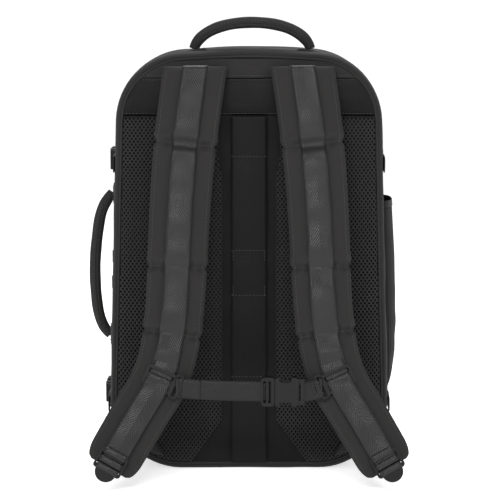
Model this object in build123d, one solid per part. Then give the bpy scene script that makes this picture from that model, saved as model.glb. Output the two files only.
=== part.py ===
"""Travel backpack, modelled as its separate sewn panels, straps, plastic hardware and zips.

Millimetres. The origin is on the floor under the middle of the base. +Z is up, the side worn
against the back faces -Y, and the clamshell lid is on the +Y side, hinged at the +X edge.
"""

import os

from build123d import *

os.makedirs("parts", exist_ok=True)

# ---------------------------------------------------------------- driving dimensions
BAG_HEIGHT = 522.0
SHOULDER_HEIGHT = 512.0
BASE_HALF_WIDTH = 175.0
TOP_HALF_WIDTH = 161.0
TOP_CORNER_RADIUS = 85.0
BASE_CORNER_RADIUS = 88.0
CROWN_RADIUS = 700.0

PANEL_Y = -90.0  # outer face of the back panel
ZIP_Y = 20.0  # meeting plane of the main zip
LID_Y = 88.0  # front face of the lid
POCKET_Y = 102.0  # front face of the outer pocket
WALL = 3.0
ZIP_TAPE = 5.8  # width of one zip tape
GAP = 0.4  # clearance between bodies that move apart
PANEL_INSET = 5.0  # the gusset wraps round the panel's edge by this much
PAD_INSET = 10.0  # the padding starts this far inside the outline
BACK_EDGE_ROUND = 7.0
PANEL_THICKNESS = 4.0
LID_EDGE_ROUND = 26.0
POCKET_EDGE_ROUND = 9.0
POCKET_WALL = 2.5
POCKET_INSET = 28.0  # the outer pocket lies this far inside the lid's outline
POCKET_TOP_Z = 400.0
DIVIDER_TOP_Z = 396.0

COLUMN_HALF_WIDTH = 32.5
COLUMN_TOP_HALF_WIDTH = 37.0
COLUMN_FLARE_HALF_WIDTH = 74.0
BAND_LOW_Z = 441.0
BAND_HIGH_Z = 487.0
FOAM_THICKNESS = 6.0
MESH_THICKNESS = 3.0
WIDE_WEBBING = 44.0
WEBBING = 30.0
STERNUM_WEBBING = 25.0
WEBBING_THICKNESS = 2.0

HINGE_Z = 501.0  # the shoulder straps swing about their top seam
STRAP_THICKNESS = 14.0
STRAP_TOP_HALF_WIDTH = 39.0
STRAP_LOW_HALF_WIDTH = 33.0
# Middle line of one shoulder strap seen from the front, as (distance from the middle, height)
STRAP_FRONT = [(65, 500), (77, 410), (86, 278), (93, 182), (106, 132), (129, 92), (146, 64), (168, 27)]
# The same line seen from the side, as (depth, height)
STRAP_SIDE = [
    (-101, 500), (-113, 462), (-126, 390), (-146, 270), (-166, 175), (-183, 108), (-201, 40), (-210, 6),
]

STERNUM_Z = 119.0
STERNUM_REACH = 84.0  # from the middle to either slider's loop
SLIDER_Z = 129.0
LOCK_Z = 33.0
BUCKLE_WIDTH = 35.0
BUCKLE_THICKNESS = 9.0
BUCKLE_MOUTH_X = 31.0

HANDLE_RADIUS = 7.0
TOP_HANDLE_Y = -58.0
TOP_HANDLE_X = 4.0
TOP_HANDLE_HALF_SPAN = 70.0
TOP_HANDLE_FOOT_Z = BAG_HEIGHT + 4.0
TOP_HANDLE_RISE = 27.5
SIDE_HANDLE_REACH = 17.0  # how far the side handle's middle stands out from its feet
SIDE_HANDLE_Y = -38.0
SIDE_HANDLE_LOW_Z = 165.0
SIDE_HANDLE_HIGH_Z = 337.0

COMPRESSION_HEIGHTS = [80.0, 380.0]
SLIDER_HEIGHTS = {"lower": 236.0, "upper": 269.0}
POCKET_ZIP_Z = 430.0
POCKET_SLIDER_X = 105.0


# ---------------------------------------------------------------- helpers
def save(name, *shapes):
    """Write one node; several shapes become a group of separate solids."""
    solids = [solid for shape in shapes for solid in shape.solids()]
    export_step(Compound(label=name, children=solids), f"parts/{name}.step")


def slab_y(sketch, y_low, y_high):
    """Extrude a front-view sketch (x, z) between two depths."""
    plane = Plane(origin=(0, y_high, 0), x_dir=(1, 0, 0), z_dir=(0, -1, 0))
    return extrude(plane * sketch, amount=y_high - y_low)


def slab_x(sketch, x_low, x_high):
    """Extrude a side-view sketch (y, z) between two x positions."""
    plane = Plane(origin=(x_low, 0, 0), x_dir=(0, 1, 0), z_dir=(1, 0, 0))
    return extrude(plane * sketch, amount=x_high - x_low)


def block(x_low, x_high, y_low, y_high, z_low, z_high):
    corner = Location((x_low, y_low, z_low))
    size = (x_high - x_low, y_high - y_low, z_high - z_low)
    return corner * Box(*size, align=(Align.MIN, Align.MIN, Align.MIN))


def bag_outline(inset=0.0):
    """Front outline of the bag, moved inwards by inset."""
    line = FilletPolyline(
        (-BASE_HALF_WIDTH, 0),
        (BASE_HALF_WIDTH, 0),
        (TOP_HALF_WIDTH, SHOULDER_HEIGHT),
        (0, BAG_HEIGHT),
        (-TOP_HALF_WIDTH, SHOULDER_HEIGHT),
        radius=[BASE_CORNER_RADIUS, BASE_CORNER_RADIUS, TOP_CORNER_RADIUS, CROWN_RADIUS, TOP_CORNER_RADIUS],
        close=True,
    )
    face = make_face(line)
    return offset(face, amount=-inset) if inset else face


def side_x(z):
    """Half width of the bag on its straight sides at height z."""
    return BASE_HALF_WIDTH + (TOP_HALF_WIDTH - BASE_HALF_WIDTH) * z / SHOULDER_HEIGHT


def ribbon(points, low, high):
    """Face that follows a spline, between two offsets to its left (low) and right (high).

    low and high are pairs: the offset at the first point and at the last point.
    """
    line = Spline(*points)
    steps = 24
    near = []
    far = []
    for step in range(steps + 1):
        t = step / steps
        at = line @ t
        along = line % t
        across = Vector(-along.Y, along.X)
        near.append(at + across * (low[0] + (low[1] - low[0]) * t))
        far.append(at + across * (high[0] + (high[1] - high[0]) * t))
    edges = [Spline(*near), Line(near[-1], far[-1]), Spline(*reversed(far)), Line(far[0], near[0])]
    return make_face(edges)


def crossing(points, height):
    """Where a falling spline passes a height: its other coordinate and its direction there."""
    line = Spline(*points)
    low, high = 0.0, 1.0
    for _ in range(40):
        middle = (low + high) / 2
        if (line @ middle).Y > height:
            low = middle
        else:
            high = middle
    return (line @ low).X, line % low


def strap_plane(side, height, lift):
    """Plane on a strap's front face: x across, y up along the strap, z away from the bag."""
    x, front_way = crossing(STRAP_FRONT, height)
    y, side_way = crossing(STRAP_SIDE, height)
    outward = Vector(0, side_way.Y, -side_way.X).normalized()
    origin = Vector(side * x, y, height) + outward * lift
    up = Vector(side * front_way.X / front_way.Y, side_way.X / side_way.Y, 1.0)
    across = up.cross(outward).normalized()
    return Plane(origin=origin, x_dir=across, z_dir=outward)


# ---------------------------------------------------------------- bag body
def back_half():
    outer = slab_y(bag_outline(), PANEL_Y, ZIP_Y - ZIP_TAPE - 0.2)
    outer = fillet(outer.edges().filter_by_position(Axis.Y, PANEL_Y - 0.1, PANEL_Y + 0.1), BACK_EDGE_ROUND)
    inner_y = PANEL_Y + PANEL_THICKNESS
    hollow = slab_y(bag_outline(WALL), inner_y, ZIP_Y + 1)
    inner_edge = hollow.edges().filter_by_position(Axis.Y, inner_y - 0.1, inner_y + 0.1)
    hollow = fillet(inner_edge, BACK_EDGE_ROUND - WALL)
    shell = outer - hollow
    panel_zone = slab_y(bag_outline(PANEL_INSET + 3), PANEL_Y - 1, PANEL_Y + PANEL_THICKNESS)
    save("back_panel", shell & panel_zone)
    gusset = shell - panel_zone
    high = BAG_HEIGHT - TOP_CORNER_RADIUS - 4
    low = BASE_CORNER_RADIUS
    save("gusset_top", gusset & block(-200, 200, -120, 60, high, 560))
    save("gusset_base", gusset & block(-200, 200, -120, 60, -10, low))
    save("gusset_left", gusset & block(-200, 0, -120, 60, low, high))
    save("gusset_right", gusset & block(0, 200, -120, 60, low, high))


def zip_tape(name, y_low, y_high):
    ring = bag_outline(0.6) - bag_outline(0.6 + 1.6)
    save(name, slab_y(ring, y_low, y_high))


def back_panel_layers():
    save("frame_sheet", slab_y(bag_outline(16), PANEL_Y + 4.2, PANEL_Y + 5.7))
    band = bag_outline(PAD_INSET) & Pos(0, (BAND_LOW_Z + BAND_HIGH_Z) / 2) * Rectangle(
        400, BAND_HIGH_Z - BAND_LOW_Z
    )
    save("top_band", slab_y(band, PANEL_Y - 3, PANEL_Y))
    yoke = bag_outline(PAD_INSET) & Pos(0, BAND_HIGH_Z + 25.5) * Rectangle(400, 50)
    save("yoke", slab_y(yoke, PANEL_Y - 2.5, PANEL_Y))

    ring = bag_outline(PANEL_INSET) - bag_outline(PANEL_INSET + 4)
    piping = slab_y(ring, PANEL_Y - 3.5, PANEL_Y)
    save("rim_piping", piping)

    column = [
        (COLUMN_TOP_HALF_WIDTH, BAND_LOW_Z - 1),
        (COLUMN_TOP_HALF_WIDTH, 390),
        (COLUMN_HALF_WIDTH, 368),
        (COLUMN_HALF_WIDTH, 62),
        (COLUMN_FLARE_HALF_WIDTH, 6),
        (COLUMN_FLARE_HALF_WIDTH, 0),
    ]
    for side, word in ((-1, "left"), (1, "right")):
        inner = [(side * x, z) for x, z in column]
        zone = make_face(Polyline(*inner, (side * 200, 0), (side * 200, BAND_LOW_Z - 1), close=True))
        cover = bag_outline(PAD_INSET) & zone
        foam = offset(cover, amount=-3)
        foam_top = PANEL_Y - FOAM_THICKNESS
        solid_foam = slab_y(foam, foam_top, PANEL_Y)
        save(f"pad_foam_{word}", solid_foam)
        skin = slab_y(cover, foam_top - MESH_THICKNESS, PANEL_Y)
        save(f"mesh_panel_{word}", skin - solid_foam)

    middle = [(x - 0.5, z) for x, z in column]
    mirrored_middle = [(-x, z) for x, z in reversed(middle)]
    strip = make_face(Polyline(*middle, *mirrored_middle, close=True)) & bag_outline(PAD_INSET)
    save("centre_panel", slab_y(strip, PANEL_Y - 2, PANEL_Y))
    webbing = Pos(0, (BAND_LOW_Z + 2) / 2 + 8) * Rectangle(WIDE_WEBBING, BAND_LOW_Z - 20)
    save("centre_webbing", slab_y(webbing, PANEL_Y - 2 - WEBBING_THICKNESS, PANEL_Y - 2))


def inside_back_half():
    divider = bag_outline(14) & Pos(0, DIVIDER_TOP_Z / 2) * Rectangle(400, DIVIDER_TOP_Z)
    save("laptop_divider", slab_y(divider, -60, -54))
    save("divider_hem", slab_y(Pos(0, DIVIDER_TOP_Z + 3) * Rectangle(280, 6), -61, -53))


# ---------------------------------------------------------------- lid and its pockets
def rounded_slab(outline, y_low, y_high, radius):
    """A slab whose edge on the +Y side is rounded."""
    slab = slab_y(outline, y_low, y_high)
    return fillet(slab.edges().filter_by_position(Axis.Y, y_high - 0.1, y_high + 0.1), radius)


def lid():
    start = ZIP_Y + ZIP_TAPE + 0.2
    outer = rounded_slab(bag_outline(0.3), start, LID_Y, LID_EDGE_ROUND)
    hollow = rounded_slab(bag_outline(WALL + 0.3), start - 1, LID_Y - WALL, LID_EDGE_ROUND - WALL)
    save("lid_shell", outer - hollow)
    save("lid_mesh_divider", slab_y(bag_outline(5), start + 1, start + 2.2))

    zone = bag_outline(POCKET_INSET) & Pos(0, POCKET_TOP_Z / 2) * Rectangle(400, POCKET_TOP_Z)
    pocket = rounded_slab(zone, LID_Y, POCKET_Y, POCKET_EDGE_ROUND)
    inner_zone = offset(zone, amount=-POCKET_WALL)
    pouch = rounded_slab(inner_zone, LID_Y, POCKET_Y - POCKET_WALL, POCKET_EDGE_ROUND - POCKET_WALL)
    save("front_pocket", pocket - pouch)
    tape = Pos(0, POCKET_ZIP_Z) * Rectangle(250, 14)
    save("front_pocket_zip_tape", slab_y(tape, LID_Y, LID_Y + 1.6))
    slider = Pos(POCKET_SLIDER_X, POCKET_ZIP_Z) * RectangleRounded(13, 9, 3)
    save("front_pocket_zip_slider", slab_y(slider, LID_Y + 2.0, LID_Y + 7.0))
    pivot = (POCKET_SLIDER_X, LID_Y + 8.6, POCKET_ZIP_Z - 6.2)
    save("front_pocket_zip_pull", Plane(origin=pivot, x_dir=(-1, 0, 0), z_dir=(0, 1, 0)) * pull_tab(16))


def pull_tab(length):
    """Zip pull hanging along -Y from its pivot, 1.8 thick, with its finger hole."""
    outline = Pos(0, -length / 2) * RectangleRounded(7, length, 2.5)
    hole = Pos(0, -length + 7) * SlotOverall(6, 2.6, rotation=90)
    return extrude(outline - hole, amount=0.9, both=True)


def main_zip_sliders():
    for word, height in SLIDER_HEIGHTS.items():
        x = -side_x(height) - GAP
        body = slab_x(Pos(ZIP_Y, height) * RectangleRounded(9, 13, 3), x - 5, x)
        save(f"main_zip_slider_{word}", body)
        plane = Plane(origin=(x - 6.6, ZIP_Y, height - 8.2), x_dir=(0, -1, 0), z_dir=(-1, 0, 0))
        save(f"main_zip_pull_{word}", plane * pull_tab(16))


# ---------------------------------------------------------------- handles
def handle(path, feet):
    """Padded tube with round ends."""
    start = path @ 0
    plane = Plane(origin=start, z_dir=path % 0)
    tube = sweep(plane * Circle(HANDLE_RADIUS), path=path)
    for foot in feet:
        tube += Location(foot) * Sphere(HANDLE_RADIUS)
    return tube


def top_handle():
    foot_z = TOP_HANDLE_FOOT_Z
    span = TOP_HANDLE_HALF_SPAN
    half = [(0.0, 1.0), (0.4, 0.91), (0.79, 0.545), (1.0, 0.0)]  # shares of the span and of the rise
    arch = [(-x, z) for x, z in reversed(half[1:])] + half
    points = [(TOP_HANDLE_X + x * span, TOP_HANDLE_Y, foot_z + z * TOP_HANDLE_RISE) for x, z in arch]
    path = Spline(*points)
    feet = [(TOP_HANDLE_X + side * span, TOP_HANDLE_Y, foot_z) for side in (-1, 1)]
    save("top_handle", handle(path, feet))
    anchors = []
    for side in (-1, 1):
        x = TOP_HANDLE_X + side * span
        zone = block(x - 14, x + 14, TOP_HANDLE_Y - 12, TOP_HANDLE_Y + 12, 480, 540)
        anchors.append((slab_y(bag_outline(-1.0), -80, 0) - slab_y(bag_outline(), -81, 1)) & zone)
    save("top_handle_anchors", *anchors)


def side_foot_x(z):
    """Centre of a side handle's foot, just clear of the patch that holds it."""
    return -side_x(z) - 1.0 - HANDLE_RADIUS - GAP


def side_handle():
    low, high = SIDE_HANDLE_LOW_Z, SIDE_HANDLE_HIGH_Z
    bow = [(0.0, 0.0), (0.09, 0.52), (0.24, 0.84), (0.5, 1.0), (0.76, 0.84), (0.91, 0.52), (1.0, 0.0)]
    points = []
    for share, reach in bow:
        z = low + (high - low) * share
        x = side_foot_x(low) * (1 - share) + side_foot_x(high) * share - reach * SIDE_HANDLE_REACH
        points.append((x, SIDE_HANDLE_Y, z))
    save("side_handle", handle(Spline(*points), [points[0], points[-1]]))
    anchors = []
    for height in (low, high):
        zone = block(-200, 0, SIDE_HANDLE_Y - 13, SIDE_HANDLE_Y + 13, height - 14, height + 14)
        anchors.append((slab_y(bag_outline(-1.0), -80, 0) - slab_y(bag_outline(), -81, 1)) & zone)
    save("side_handle_anchors", *anchors)


# ---------------------------------------------------------------- bottle pocket
def bottle_pocket():
    low, high, hem = 102.0, 334.0, 8.0
    y_low, y_high = -74.0, 8.0
    wall, bend, face = 2.5, 12.0, 190.0
    outer = block(150, face, y_low, y_high, low, high + 30)
    outer = fillet(outer.edges().group_by(Axis.X)[-1], bend)
    hollow = block(149, face - wall, y_low + wall, y_high - wall, low + wall, high + 60)
    hollow = fillet(hollow.edges().group_by(Axis.X)[-1], bend - wall)
    shell = outer - hollow - slab_y(bag_outline(), -100, 30)
    save("bottle_pocket", shell & block(150, 200, -100, 60, low, high - hem))
    save("bottle_pocket_hem", shell & block(150, 200, -100, 60, high - hem, high))


# ---------------------------------------------------------------- side-release buckle
def buckle_female(width, thickness):
    """Housing with its mouth at x = 0, a tunnel for the arms and two side windows."""
    body = extrude(Pos(14, 0) * RectangleRounded(28, width, 4), amount=thickness / 2, both=True)
    tunnel = block(-1, 21, -width, width, -2.4, 2.4) & block(-1, 21, -width / 2 - 1, width / 2 + 1, -3, 3)
    body -= tunnel
    for side in (-1, 1):
        window = Pos(12.5, side * width / 2) * RectangleRounded(15, width * 0.34, 4)
        body -= extrude(window, amount=thickness, both=True)
        body += extrude(Pos(30.5, side * (width / 2 - 4.5)) * Rectangle(9, 5), amount=2.5, both=True)
    bar = Pos(33, 0) * Rectangle(3.5, width - 9)
    return body + extrude(bar, amount=1.6, both=True)


def buckle_base(width, thickness):
    """Male base with two webbing slots and a guide tongue; the arms are separate."""
    body = extrude(Pos(-8.6, 0) * RectangleRounded(15.6, width, 3.5), amount=thickness / 2 - 0.7, both=True)
    for x in (-12.4, -6.6):
        body -= extrude(Pos(x, 0) * Rectangle(3.4, width - 9), amount=thickness, both=True)
    tongue = Pos(7, 0) * Rectangle(17.6, 5)
    return body + extrude(tongue, amount=1.8, both=True)


def buckle_arm(side, width):
    """Springy arm whose thumb pad bulges into the window."""
    half = width / 2
    points = [(-0.4, 7), (4, 7.6), (8, 8), (17.5, 8), (18.6, half - 5), (16.5, half - 3.6),
              (10, half - 4), (6, half - 6), (3, half - 6.6), (-0.4, half - 7)]
    face = make_face(Polyline(*[(x, side * y) for x, y in points], close=True))
    return extrude(face, amount=1.9, both=True)


def sternum_strap():
    plane = Plane(origin=(BUCKLE_MOUTH_X, sternum_y(), STERNUM_Z), x_dir=(1, 0, 0), z_dir=(0, -1, 0))
    save("sternum_buckle_female", plane * buckle_female(BUCKLE_WIDTH, BUCKLE_THICKNESS))
    save("sternum_buckle_male", plane * buckle_base(BUCKLE_WIDTH, BUCKLE_THICKNESS))
    for side, word in ((-1, "lower"), (1, "upper")):
        save(f"sternum_buckle_arm_{word}", plane * buckle_arm(side, BUCKLE_WIDTH))
    back = sternum_y() + BUCKLE_THICKNESS / 2 + GAP
    low, high = STERNUM_Z - STERNUM_WEBBING / 2, STERNUM_Z + STERNUM_WEBBING / 2
    spans = {"left": (-STERNUM_REACH, BUCKLE_MOUTH_X - 3), "right": (BUCKLE_MOUTH_X + 32, STERNUM_REACH)}
    for word, (x_low, x_high) in spans.items():
        webbing = block(x_low, x_high, back, back + WEBBING_THICKNESS, low, high)
        save(f"sternum_webbing_{word}", webbing)


def sternum_y():
    """Depth of the chest buckle's middle plane, in front of the straps."""
    return crossing(STRAP_SIDE, STERNUM_Z)[0] - STRAP_THICKNESS / 2 - WEBBING_THICKNESS - 10.5


# ---------------------------------------------------------------- shoulder straps
def ladder_lock():
    """Plastic lock: frame with two webbing slots and a thumb tab, in its own plane."""
    frame = RectangleRounded(36, 27, 4)
    for y in (-5.2, 5.2):
        frame -= Pos(0, y) * Rectangle(30.5, 5)
    tab = Pos(0, -12) * Circle(13) & Pos(0, -20) * Rectangle(40, 20)
    return extrude(frame + tab, amount=1.9, both=True)


def sternum_slider():
    """Plastic frame that clips over the strap webbing, with a loop for the chest webbing."""
    frame = RectangleRounded(38, 25, 4)
    frame -= Pos(0, 6.4) * Rectangle(31, 5)
    frame -= Pos(0, -6.4) * Rectangle(31, 5)
    plate = extrude(frame, amount=3)
    loop = Pos(-22.5, 0) * (RectangleRounded(10, 30, 3) - RectangleRounded(4.4, 25.6, 1))
    return plate + extrude(loop, amount=3)


def shoulder_strap(side, word):
    front = ribbon([(side * x, z) for x, z in STRAP_FRONT], (-STRAP_TOP_HALF_WIDTH, -STRAP_LOW_HALF_WIDTH),
                   (STRAP_TOP_HALF_WIDTH, STRAP_LOW_HALF_WIDTH))
    half = STRAP_THICKNESS / 2
    depth = ribbon(STRAP_SIDE, (-half, -half), (half, half))
    below_seam = block(-300, 300, -300, 0, -50, HINGE_Z)
    pad = slab_y(front, -260, -80) & slab_x(depth, -250, 250) & below_seam
    save(f"strap_pad_{word}", pad)

    face = -half - 0.1
    front = ribbon([(side * x, z) for x, z in STRAP_FRONT], (-WEBBING / 2,) * 2, (WEBBING / 2,) * 2)
    depth = ribbon(STRAP_SIDE, (face - WEBBING_THICKNESS,) * 2, (face,) * 2)
    webbing = slab_y(front, -260, -80) & slab_x(depth, -250, 250) & below_seam
    save(f"strap_webbing_{word}", webbing & block(-300, 300, -300, 0, 52, 600))

    slider = sternum_slider() if side > 0 else mirror(sternum_slider(), about=Plane.YZ)
    save(f"sternum_slider_{word}", strap_plane(side, SLIDER_Z, half + WEBBING_THICKNESS + 0.4) * slider)

    save(f"ladder_lock_{word}", lock_plane(side) * ladder_lock())
    save(f"lower_webbing_{word}", lower_webbing(side))


def lock_plane(side):
    return strap_plane(side, LOCK_Z, STRAP_THICKNESS / 2 + 4.5)


def lower_webbing(side):
    """Webbing from behind the ladder lock back to the wing at the bag's lower corner."""
    lock = lock_plane(side)
    start = lock.origin + lock.z_dir * -26
    end = Vector(side * 148, PANEL_Y - 15.5, 60)
    way = end - start
    middle = (start + end) * 0.5
    plane = Plane(origin=middle, x_dir=Vector(way.Y, -way.X, 0).normalized(), z_dir=way.normalized())
    return extrude(plane * Rectangle(25, WEBBING_THICKNESS), amount=way.length / 2, both=True)


def strap_anchor(side, word):
    """Triangular wing sewn into the lower corner, where the strap webbing is held."""
    points = [(110, 20), (146, 34), (158, 78), (150, 92), (128, 60)]
    face = make_face(Polyline(*[(side * x, z) for x, z in points], close=True))
    zone = slab_y(bag_outline(PAD_INSET), -120, -60)
    save(f"strap_anchor_{word}", slab_y(face, PANEL_Y - 12.5, PANEL_Y - 9.5) & zone)


# ---------------------------------------------------------------- compression straps
def compression_straps():
    left_back, left_front, right_back, right_front = [], [], [], []
    females, males, locks = [], [], []
    half = 10.0
    for height in COMPRESSION_HEIGHTS:
        x = side_x(height - half) + 0.2
        outer = x + WEBBING_THICKNESS
        left_back.append(block(-outer, -x, -82, -2, height - half, height + half))
        left_front.append(block(-outer, -x, 48, 62, height - half, height + half))
        plane = Plane(origin=(-x - 6.6, 24, height), x_dir=(0, -1, 0), z_dir=(-1, 0, 0))
        females.append(plane * buckle_female(27, 8))
        males.append(plane * (buckle_base(27, 8) + joined_arms(27)))
        right_back.append(block(x, outer, -82, 10, height - half, height + half))
        right_front.append(block(x, outer, 32, 62, height - half, height + half))
        frame = extrude(RectangleRounded(14, 25, 3) - Rectangle(3.5, 20.5), amount=3)
        locks.append(Plane(origin=(outer, 2, height), x_dir=(0, 1, 0), z_dir=(1, 0, 0)) * frame)
    save("compression_webbing_left", *left_back)
    save("compression_webbing_lid_left", *left_front)
    save("compression_webbing_right", *right_back)
    save("compression_webbing_lid_right", *right_front)
    save("compression_buckle_female", *females)
    save("compression_buckle_male", *males)
    save("compression_ladder_lock", *locks)


def joined_arms(width):
    """Both arms, narrowed by the clearance that lets the halves part with the lid."""
    arms = []
    for side in (-1, 1):
        face = [(-2, 4), (5, 5.5), (12, width / 2 - 4), (17, width / 2 - 1), (17, width / 2 - 4.5),
                (8, 3.6), (-2, 3)]
        arm = make_face(Polyline(*[(x, side * y) for x, y in face], close=True))
        arms.append(extrude(arm, amount=1.5, both=True))
    return arms[0] + arms[1]


def main():
    back_half()
    zip_tape("main_zip_tape_back", ZIP_Y - ZIP_TAPE - 0.2, ZIP_Y - 0.2)
    zip_tape("main_zip_tape_lid", ZIP_Y + 0.2, ZIP_Y + ZIP_TAPE + 0.2)
    back_panel_layers()
    inside_back_half()
    lid()
    main_zip_sliders()
    top_handle()
    side_handle()
    bottle_pocket()
    sternum_strap()
    for side, word in ((-1, "left"), (1, "right")):
        shoulder_strap(side, word)
        strap_anchor(side, word)
    compression_straps()


main()
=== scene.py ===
"""Travel backpack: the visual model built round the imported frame. Metres, +Z up, harness side to -Y."""

import math

import bmesh
import bpy
import numpy as np
from mathutils import Matrix, Vector, noise


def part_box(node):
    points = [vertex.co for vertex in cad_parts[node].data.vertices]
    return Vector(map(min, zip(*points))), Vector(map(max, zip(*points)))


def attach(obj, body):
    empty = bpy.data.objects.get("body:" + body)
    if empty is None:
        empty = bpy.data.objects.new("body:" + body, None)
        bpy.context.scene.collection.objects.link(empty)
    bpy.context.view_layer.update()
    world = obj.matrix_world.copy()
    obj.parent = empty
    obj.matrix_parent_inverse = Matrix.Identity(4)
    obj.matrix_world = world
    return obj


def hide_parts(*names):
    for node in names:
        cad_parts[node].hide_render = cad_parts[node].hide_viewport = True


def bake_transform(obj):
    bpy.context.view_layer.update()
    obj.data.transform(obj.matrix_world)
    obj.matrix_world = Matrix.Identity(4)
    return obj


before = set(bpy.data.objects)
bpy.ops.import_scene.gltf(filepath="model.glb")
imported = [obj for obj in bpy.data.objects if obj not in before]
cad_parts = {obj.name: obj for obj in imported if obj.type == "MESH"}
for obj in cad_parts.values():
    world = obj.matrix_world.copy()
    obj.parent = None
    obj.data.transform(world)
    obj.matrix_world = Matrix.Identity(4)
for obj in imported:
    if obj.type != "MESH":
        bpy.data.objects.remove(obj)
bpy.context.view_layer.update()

MM = 0.001

# ---------------------------------------------------------------- the bag's driving sizes, as in the frame
BAG_HEIGHT = 522 * MM
SHOULDER_HEIGHT = 512 * MM
BASE_HALF_WIDTH = 175 * MM
TOP_HALF_WIDTH = 161 * MM
TOP_CORNER_RADIUS = 85 * MM
BASE_CORNER_RADIUS = 88 * MM
CROWN_RADIUS = 700 * MM
PANEL_Y = -90 * MM
ZIP_Y = 20 * MM
LID_Y = 88 * MM
POCKET_Y = 102 * MM

COLUMN_HALF_WIDTH = 32.5 * MM
COLUMN_TOP_HALF_WIDTH = 37 * MM
COLUMN_FLARE_HALF_WIDTH = 74 * MM
BAND_LOW_Z = 441 * MM
BAND_HIGH_Z = 487 * MM
PAD_RISE = 9 * MM
WEBBING = 30 * MM
STERNUM_WEBBING = 25 * MM
WEBBING_THICKNESS = 1.8 * MM

STRAP_TOP_Z = 501 * MM
STRAP_THICKNESS = 14 * MM
STRAP_TOP_HALF_WIDTH = 39 * MM
STRAP_LOW_HALF_WIDTH = 33 * MM
STRAP_LOW_Z = 27 * MM
SLIDER_Z = 129 * MM
LOCK_Z = 33 * MM
STERNUM_Z = 119 * MM
BUCKLE_MOUTH_X = 31 * MM

# Middle lines as (across, height) in millimetres; the top handle's is symmetric about its middle.
TOP_HANDLE_HALF = [(0, 553.5), (28, 551), (55.3, 541), (70, 526), (72, 521)]
TOP_HANDLE_X = 4 * MM
TOP_HANDLE_Y = -58 * MM
SIDE_HANDLE = [(-171, 341), (-174.2, 337), (-183.4, 321.5), (-189.4, 296), (-193.7, 251),
               (-192.1, 206), (-187.3, 180.5), (-178.9, 165), (-175, 161)]
SIDE_HANDLE_Y = -38 * MM
HANDLE_RADIUS = 7 * MM
HANDLE_END_POINTS = 9  # how many of a handle's 90 points lie between its patch and the end of its welt
COMPRESSION_HEIGHTS = [80 * MM, 380 * MM]
BOTTLE_POCKET_LOW_Z = 102 * MM
BOTTLE_POCKET_HIGH_Z = 334 * MM
POCKET_TOP_Z = 400 * MM
HINGE_LOW_Z = 100 * MM
HINGE_HIGH_Z = 415 * MM
POCKET_ZIP_Z = 430 * MM
# A strap's middle line as (x, z) from the front and (y, z) from the side, in millimetres.
STRAP_FRONT = [(65, 500), (77, 410), (86, 278), (93, 182), (106, 132), (129, 92), (146, 64), (168, 27)]
STRAP_SIDE = [(-101, 500), (-113, 462), (-126, 390), (-146, 270), (-166, 175), (-183, 108),
              (-201, 40), (-210, 6)]

SIDES = ((-1, "left"), (1, "right"))


# ---------------------------------------------------------------- curves and outlines
def natural_cubic(knots, values, at):
    """Natural cubic spline through (knots, values), read at the parameters at."""
    count = len(knots)
    gaps = np.diff(knots)
    system = np.zeros((count, count))
    right = np.zeros((count, values.shape[1]))
    system[0, 0] = system[-1, -1] = 1.0
    for i in range(1, count - 1):
        system[i, i - 1] = gaps[i - 1]
        system[i, i] = 2 * (gaps[i - 1] + gaps[i])
        system[i, i + 1] = gaps[i]
        right[i] = 6 * ((values[i + 1] - values[i]) / gaps[i] - (values[i] - values[i - 1]) / gaps[i - 1])
    second = np.linalg.solve(system, right)
    span = np.clip(np.searchsorted(knots, at, side="right") - 1, 0, count - 2)
    gap = gaps[span][:, None]
    before = (knots[span + 1] - at)[:, None] / gap
    after = 1 - before
    bend = ((before**3 - before) * second[span] + (after**3 - after) * second[span + 1]) * gap**2 / 6
    return before * values[span] + after * values[span + 1] + bend


def lengths_along(points):
    """Distance walked along a polyline at each of its points."""
    return np.concatenate([[0], np.cumsum(np.linalg.norm(np.diff(points, axis=0), axis=1))])


def smooth_line(points, count):
    """count points evenly spaced along a smooth curve through points."""
    points = np.asarray(points, float)
    knots = lengths_along(points)
    dense = natural_cubic(knots, points, np.linspace(0, knots[-1], 40 * len(points)))
    return spaced(dense, count)


def spaced(points, count):
    """The same polyline with count evenly spaced points."""
    walked = lengths_along(points)
    at = np.linspace(0, walked[-1], count)
    return np.stack([np.interp(at, walked, points[:, k]) for k in range(points.shape[1])], axis=1)


def xyz(x, y, z):
    """Points from their coordinates, each a number or an array."""
    return np.stack(np.broadcast_arrays(x, y, z), axis=-1)


def unit(vectors):
    """The vectors at length 1."""
    return vectors / np.maximum(np.linalg.norm(vectors, axis=-1, keepdims=True), 1e-12)


ARC_STEPS = 16
EDGE_STEPS = (14, 26, 6, 6, 26)
SMALLEST_RADIUS = 2 * MM


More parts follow.
